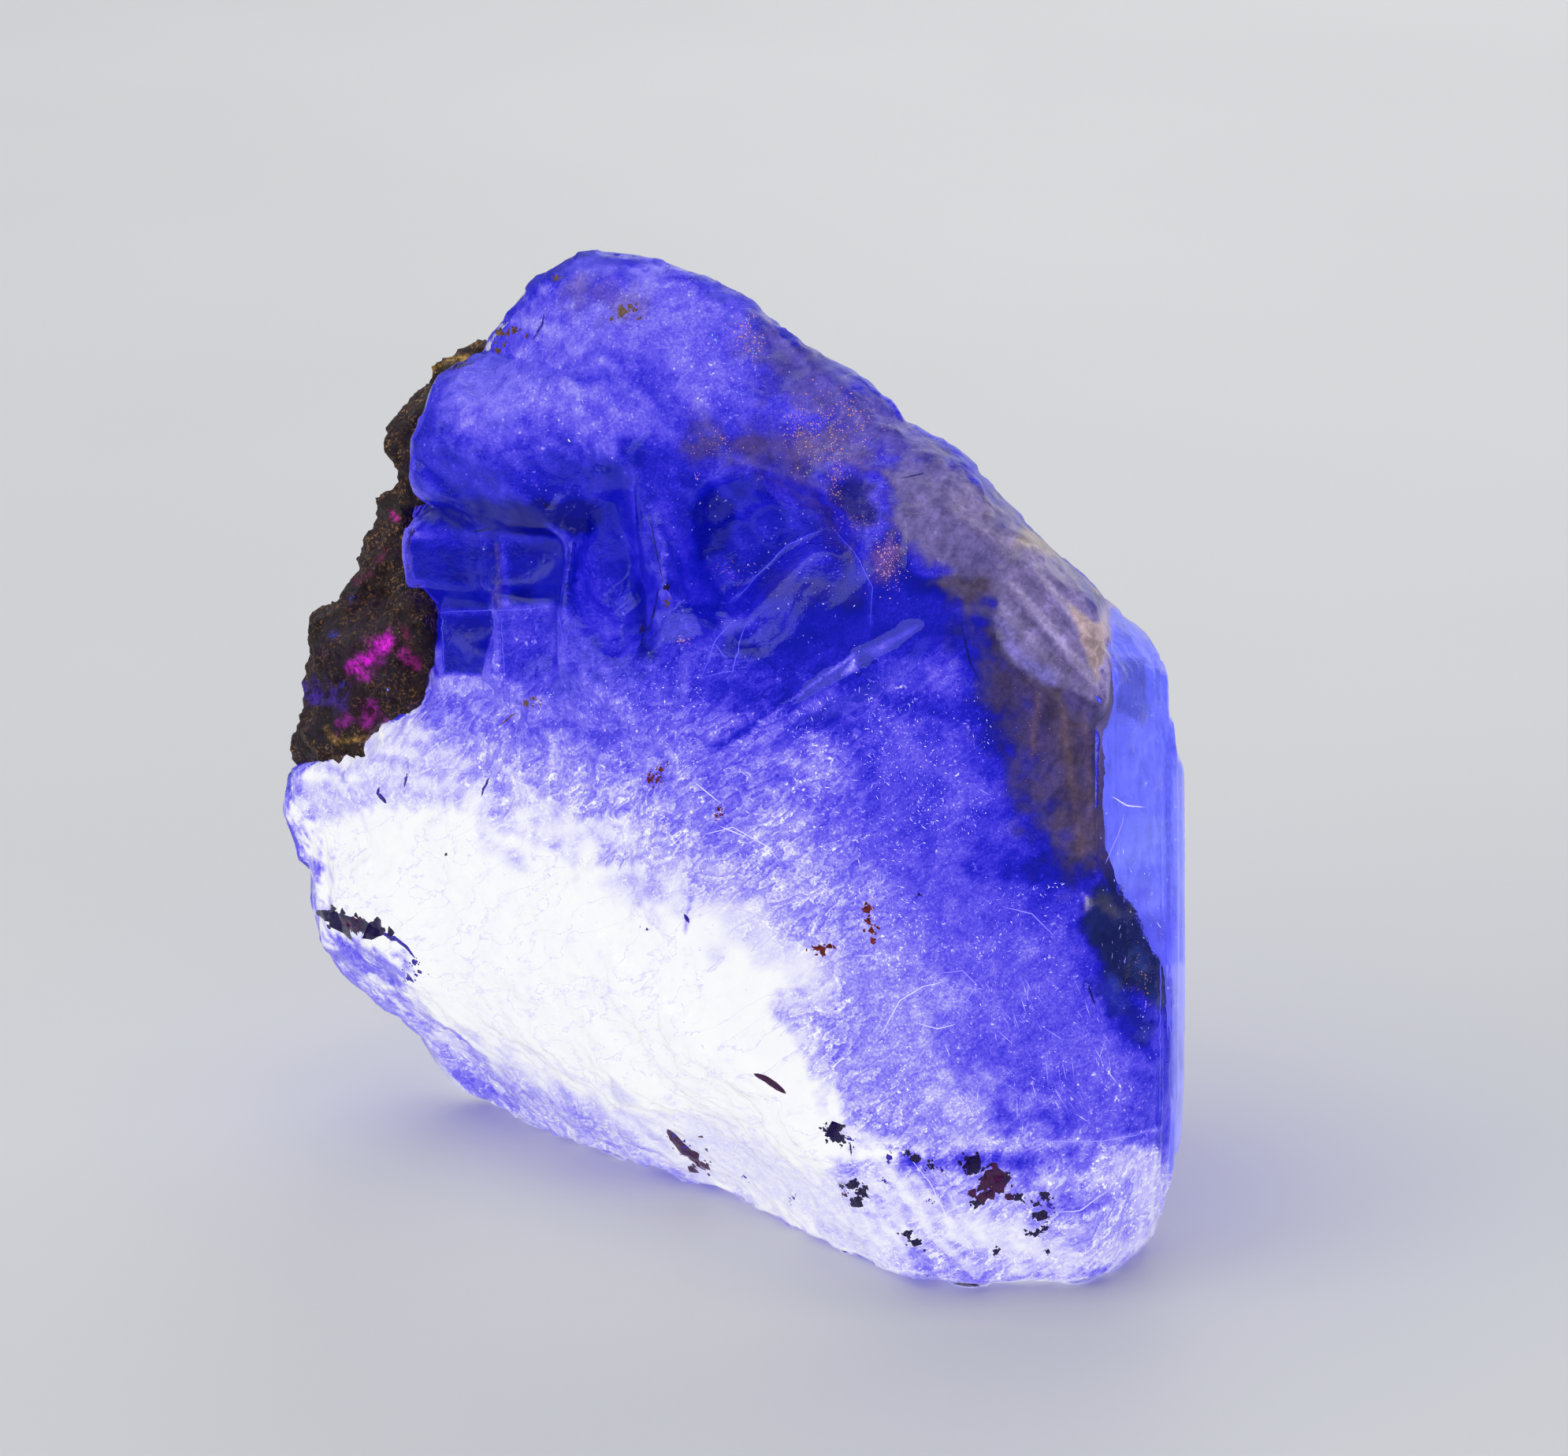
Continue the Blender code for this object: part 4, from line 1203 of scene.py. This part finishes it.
def scatter_flecks_and_highlights(tree, rng):
    bits = Bits()
    for _, settings, corners in FLECK_PATCHES:
        count, shortest, longest, width, angle, spread, *depths = map(float, settings)
        spots = rng.uniform(np.min(corners, axis=0), np.max(corners, axis=0), (int(count) * 4, 2))
        inside = distance_to_line(*spots.T, corners, True) < 0
        clumps = noise_at(np.column_stack((spots / PIXELS_PER_MM, np.zeros(len(spots)))), 2.2, 51)
        spots = spots[inside & (clumps > rng.uniform(-0.9, 0.5, len(spots)))][:int(count)]
        for spot in spots:
            place, normal = cast(spot, tree)
            place = place - normal * rng.uniform(*depths)
            along = in_plane(normal, angle + rng.normal(0, spread)) + normal * rng.normal(0, 0.2)
            length = shortest + (longest - shortest) * rng.uniform() ** 2
            tone = FLECK_TONES[rng.integers(len(FLECK_TONES))]
            if length < LONGEST_GRAIN:
                bits.grain(place, normal, length * 0.8, 0.7, rng, 6, tone)
            else:
                bits.spindle(place, along, length, width * rng.uniform(0.5, 1.6), tone)
    # The bright lines: painted highlights along ridges and edges
    for kind, (width,), line in BRIGHT_LINES:
        places, normals = follow(line, tree, LINE_SINK)
        bits.ribbon(places, normals, float(width) * 0.8, LINE_THICKNESS, TONES[kind])
    return bits


def scatter_grains(tree, rng):
    bits = Bits()
    for kind, _, grains in GRAINS:
        for x, y, width, height in grains:
            for n in range(PIECES_PER_GRAIN):
                spread = 0.0 if n == 0 else 0.34
                aside = (x + rng.normal(0, width * spread), y + rng.normal(0, height * spread))
                place, normal = cast(aside, tree)
                share = 0.86 if n == 0 else rng.uniform(0.1, 0.42)
                size = max(width, height) / PIXELS_PER_MM * GRAIN_GROWTH.get(kind, 1.0) * share
                bits.grain(place - normal * GRAIN_SINK, normal, size, 0.3, rng, 9, TONES[kind])
    for kind, (width,), line in STREAKS:
        jagged = [(x + rng.normal(0, 1.2), y + rng.normal(0, 1.2)) for x, y in line]
        places, normals = follow(jagged, tree, STREAK_SINK, spacing=5.0)
        if len(places) > 3:
            bits.ribbon(places, normals, float(width), min(STREAK_THICKNESS, float(width)), TONES[kind])
    return bits


def scatter_glints(tree, rng):
    bits = Bits()
    for kind, (count, size), ((x, y), (width, height)) in GLINTS:
        for _ in range(int(count)):
            aside = (x + rng.normal(0, width / 1.6), y + rng.normal(0, height / 1.6))
            place, normal = cast(aside, tree)
            place = place - normal * rng.uniform(0.06, 0.3)
            bits.grain(place, normal, float(size) * rng.uniform(0.4, 1.5), 0.4, rng, 6, TONES[kind])
    return bits


def scatter_rock_glints(tree, rng):
    bits = Bits()
    for kind, _, glints in ROCK_GLINTS:
        for x, y, size in glints:
            place, normal = cast((x, y), tree)
            bits.grain(place - normal * ROCK_GLINT_SINK, normal, size * 0.7, 0.5, rng, 8, TONES[kind])
    return bits


def make_floor():
    bm = bmesh.new()
    bmesh.ops.create_grid(bm, x_segments=1, y_segments=1, size=FLOOR_REACH)
    mesh = bpy.data.meshes.new("floor")
    bm.to_mesh(mesh)
    bm.free()
    floor = add_object("floor", mesh)
    n = Nodes("floor")
    shade = n.span(n.noise(160.0, 3.0), 0.3, 0.7, 0.71, 0.75)
    n.set(Base_Color=n.tinted((0.97, 0.98, 1.0, 1.0), shade), Roughness=0.6)
    floor.data.materials.append(n.material)


# The studio's lights: name, place and size in metres, power in watts
LIGHTS = (
    ("top_light", (-0.12, 0.2, 0.8), 1.3, 6.3),
    ("left_light", (-0.6, -0.25, 0.45), 0.5, 1.0),
    ("back_light", (0.3, 0.7, 0.4), 0.8, 1.8),
)
LIT_PLACE = Vector((0, 0, 0.02))


def make_lights():
    world = bpy.data.worlds.new("studio")
    bpy.context.scene.world = world
    world.use_nodes = True
    background = world.node_tree.nodes["Background"]
    background.inputs["Color"].default_value = (0.92, 0.95, 1.0, 1.0)
    background.inputs["Strength"].default_value = 0.2
    for name, place, size, power in LIGHTS:
        data = bpy.data.lights.new(name, "AREA")
        data.size = size
        data.energy = power
        light = bpy.data.objects.new(name, data)
        light.location = place
        light.rotation_euler = (LIT_PLACE - Vector(place)).to_track_quat("-Z", "Y").to_euler()
        bpy.context.scene.collection.objects.link(light)


def make_camera():
    data = bpy.data.cameras.new("photo_camera")
    data.sensor_width = SENSOR_WIDTH
    data.lens = SENSOR_WIDTH * CAMERA_DISTANCE / (PHOTO_WIDTH / PIXELS_PER_MM)
    data.clip_start = 0.01
    data.clip_end = 20.0
    camera = bpy.data.objects.new("photo_camera", data)
    camera.location = CAMERA_EYE * MM
    camera.rotation_euler = Vector(-CAMERA_BACK).to_track_quat("-Z", "Y").to_euler()
    bpy.context.scene.collection.objects.link(camera)
    bpy.context.scene.camera = camera


# Colours of the glow painted into the clear outer zone: reach and softness in pixels, sRGB colour, strength
OUTER_LAYERS = layers("""
all = 300 10 6a70fa 1.0: 1440,780 1440,1600
top = 14 60 4f59dc 0.9: 1395,750 1420,800 1470,830
upper = 20 60 5a64ee 0.8: 1430,850 1470,900
crack facet = - 5 7880fc 0.9: 1428,1034 1478,1040 1478,1100 1405,1100
frost = 16 30 8288fb 0.6: 1420,1110 1455,1150
edge line = 1 4 3a40c8 0.8: 1476,900 1476,1500
edge light = 2 5 8a92ff 0.8: 1484,900 1484,1500
shade = - 6 4a50c4 0.9: 1406,838 1447,840 1446,920 1408,905
lower = 30 100 4840e0 0.9: 1440,1180 1450,1330
foot = 20 80 8a82f8 0.9: 1440,1420 1440,1460
right column = 8 12 a4a6fb 0.8: 1486,1230 1486,1500
dark slot = 1 4 2a2cb8 0.9: 1478,1244 1478,1390
corner = 40 60 b4aefb 0.9: 1400,1540 1470,1520
""")


def paint_outer_glow(glow):
    surface = Surface(glow)
    points = surface.points
    x, y, _ = project(points)
    wobble = 0.6 * noise_at(points, 1.5, 61)
    tint = np.ones((len(points), 4))
    lay_colours(tint, OUTER_LAYERS, x, y, wobble)
    surface.store("tint", tint)
    glow.data.materials.append(outer_glow_material())


def main():
    bpy.context.scene.view_settings.view_transform = "Standard"
    make_camera()
    make_lights()
    make_floor()
    rng = np.random.default_rng(SEED)

    crystal, surface, seen = make_crystal()
    rough = surface.blurred(1.0 - flat_faces(surface.points), 2)
    surface.store("rough", rough)
    tree = bvh(crystal)
    core, core_surface = make_core(surface, seen)
    wall = core_surface.points[:, 0] > clear_zone_x(project(core_surface.points)[1]) - 0.1
    wall = wall * (1 - soft_step(front_face_distance(core_surface.points), 8.0, 22.0))
    paint(core_surface, np.maximum(core_surface.in_view(), wall), 0.55)
    glow = make_outer_glow(surface)
    paint_outer_glow(glow)
    crystal.data.materials.append(crystal_material())
    core.data.materials.append(core_material())
    rock = make_rock()
    slots = ((crystal, "fluorite"), (core, "fluorite"), (glow, "fluorite"), (rock, "matrix_rock"))
    for piece, slot in slots:
        piece.data.shade_smooth()
        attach(piece, "root")
    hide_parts("fluorite")
    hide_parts("matrix_rock")

    scatter_flecks_and_highlights(tree, rng).to_object("flecks_and_highlights", fleck_highlight_material(), "fluorite")
    scatter_grains(tree, rng).to_object("dark_inclusions", inclusion_material(), "fluorite")
    scatter_glints(tree, rng).to_object("glints", glint_material(), "fluorite")
    scatter_rock_glints(bvh(rock), rng).to_object("rock_glints", glint_material(), "matrix_rock")


main()
